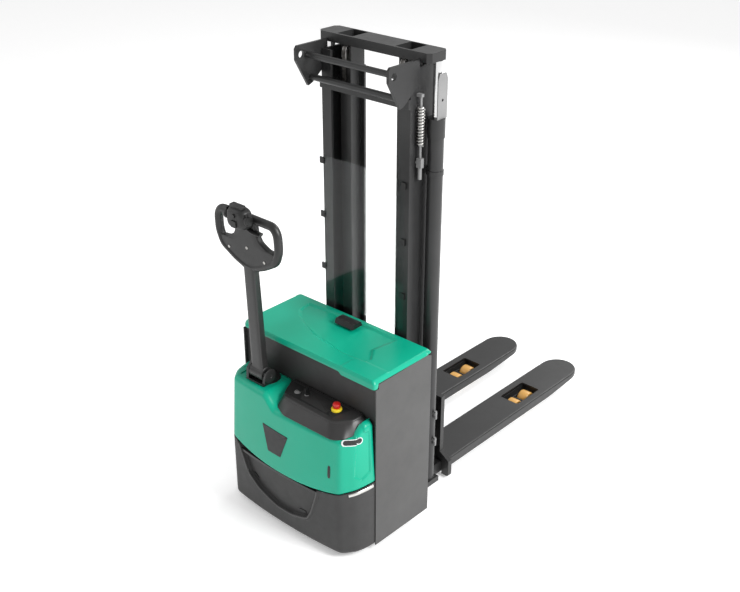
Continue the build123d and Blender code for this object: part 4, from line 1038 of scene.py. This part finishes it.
class STACKER_OT_stage(bpy.types.Operator):
    """Set the pale floor, the soft lights and the camera"""
    bl_idname = "stacker.stage"
    bl_label = "Set the Stage"

    def execute(self, context):
        scene = context.scene
        scene.view_settings.view_transform = "Standard"

        def placed(name, data):
            holder = bpy.data.objects.new(name, data)
            scene.collection.objects.link(holder)
            return holder
        size = 40.0
        ground = bpy.data.meshes.new("floor")
        corners = [(-size, -size, 0), (size, -size, 0), (size, size, 0), (-size, size, 0)]
        ground.from_pydata(corners, [], [(0, 1, 2, 3)])
        floor = placed("floor", ground)
        white = finish("floor_white", (0.93,) * 3, 0.6, 40, 0.0, second=(0.94,) * 3)
        glow = white.node_tree.nodes["Principled BSDF"].inputs
        glow["Emission Color"].default_value = (1, 1, 1, 1)
        glow["Emission Strength"].default_value = 0.30
        ground.materials.append(white)
        world = bpy.data.worlds.new("studio")
        world.use_nodes = True
        sky = world.node_tree.nodes["Background"]
        sky.inputs["Color"].default_value = (1, 1, 1, 1)
        sky.inputs["Strength"].default_value = 0.62
        scene.world = world
        lamps = (("key", (5.4, 0.3, 4.6), 2.2, 430), ("fill", (-4.4, -3.4, 3.4), 3.5, 40),
                 ("rim", (-0.5, 5.5, 4.8), 3.0, 220))
        for name, place, width, power in lamps:
            lamp = bpy.data.lights.new(name, "AREA")
            lamp.energy, lamp.size = power, width
            placed(name, lamp).matrix_world = aimed(Vector(place), Vector((0, 0, 0.9)))
        lens = bpy.data.cameras.new("camera")
        lens.lens, lens.sensor_width = 53.45, 36.0
        camera = placed("camera", lens)
        yaw, pitch = -0.740, 0.468
        ahead = Vector((np.sin(yaw) * np.cos(pitch), np.cos(yaw) * np.cos(pitch), -np.sin(pitch)))
        place = Vector((2.8904, -3.5744, 3.1122))
        camera.matrix_world = aimed(place, place + ahead)
        scene.camera = camera
        return {"FINISHED"}


# ---- the add-on
OPERATORS = (STACKER_OT_finishes, STACKER_OT_bumper, STACKER_OT_cowl, STACKER_OT_lid,
             STACKER_OT_console, STACKER_OT_controls, STACKER_OT_tiller, STACKER_OT_pod,
             STACKER_OT_shaft, STACKER_OT_rollers, STACKER_OT_mast_fittings, STACKER_OT_softened,
             STACKER_OT_stage)


class STACKER_PT_panel(bpy.types.Panel):
    """Lists the stacker's pieces"""
    bl_idname = "STACKER_PT_panel"
    bl_label = "Pallet Stacker"
    bl_space_type = "VIEW_3D"
    bl_region_type = "UI"
    bl_category = "Stacker"

    def draw(self, context):
        for operator in OPERATORS:
            self.layout.operator(operator.bl_idname)


SETTINGS = (("stacker_colours", StackerColours), ("stacker_shells", StackerShells),
            ("stacker_tiller", StackerTiller))


def register():
    for name, group in SETTINGS:
        bpy.utils.register_class(group)
        setattr(bpy.types.Scene, name, bpy.props.PointerProperty(type=group))
    for cls in (*OPERATORS, STACKER_PT_panel):
        bpy.utils.register_class(cls)


def unregister():
    for cls in (STACKER_PT_panel, *reversed(OPERATORS)):
        bpy.utils.unregister_class(cls)
    for name, group in reversed(SETTINGS):
        delattr(bpy.types.Scene, name)
        bpy.utils.unregister_class(group)


def main():
    register()
    for operator in OPERATORS:
        family, name = operator.bl_idname.split(".")
        getattr(getattr(bpy.ops, family), name)()


if __name__ == "__main__":
    main()
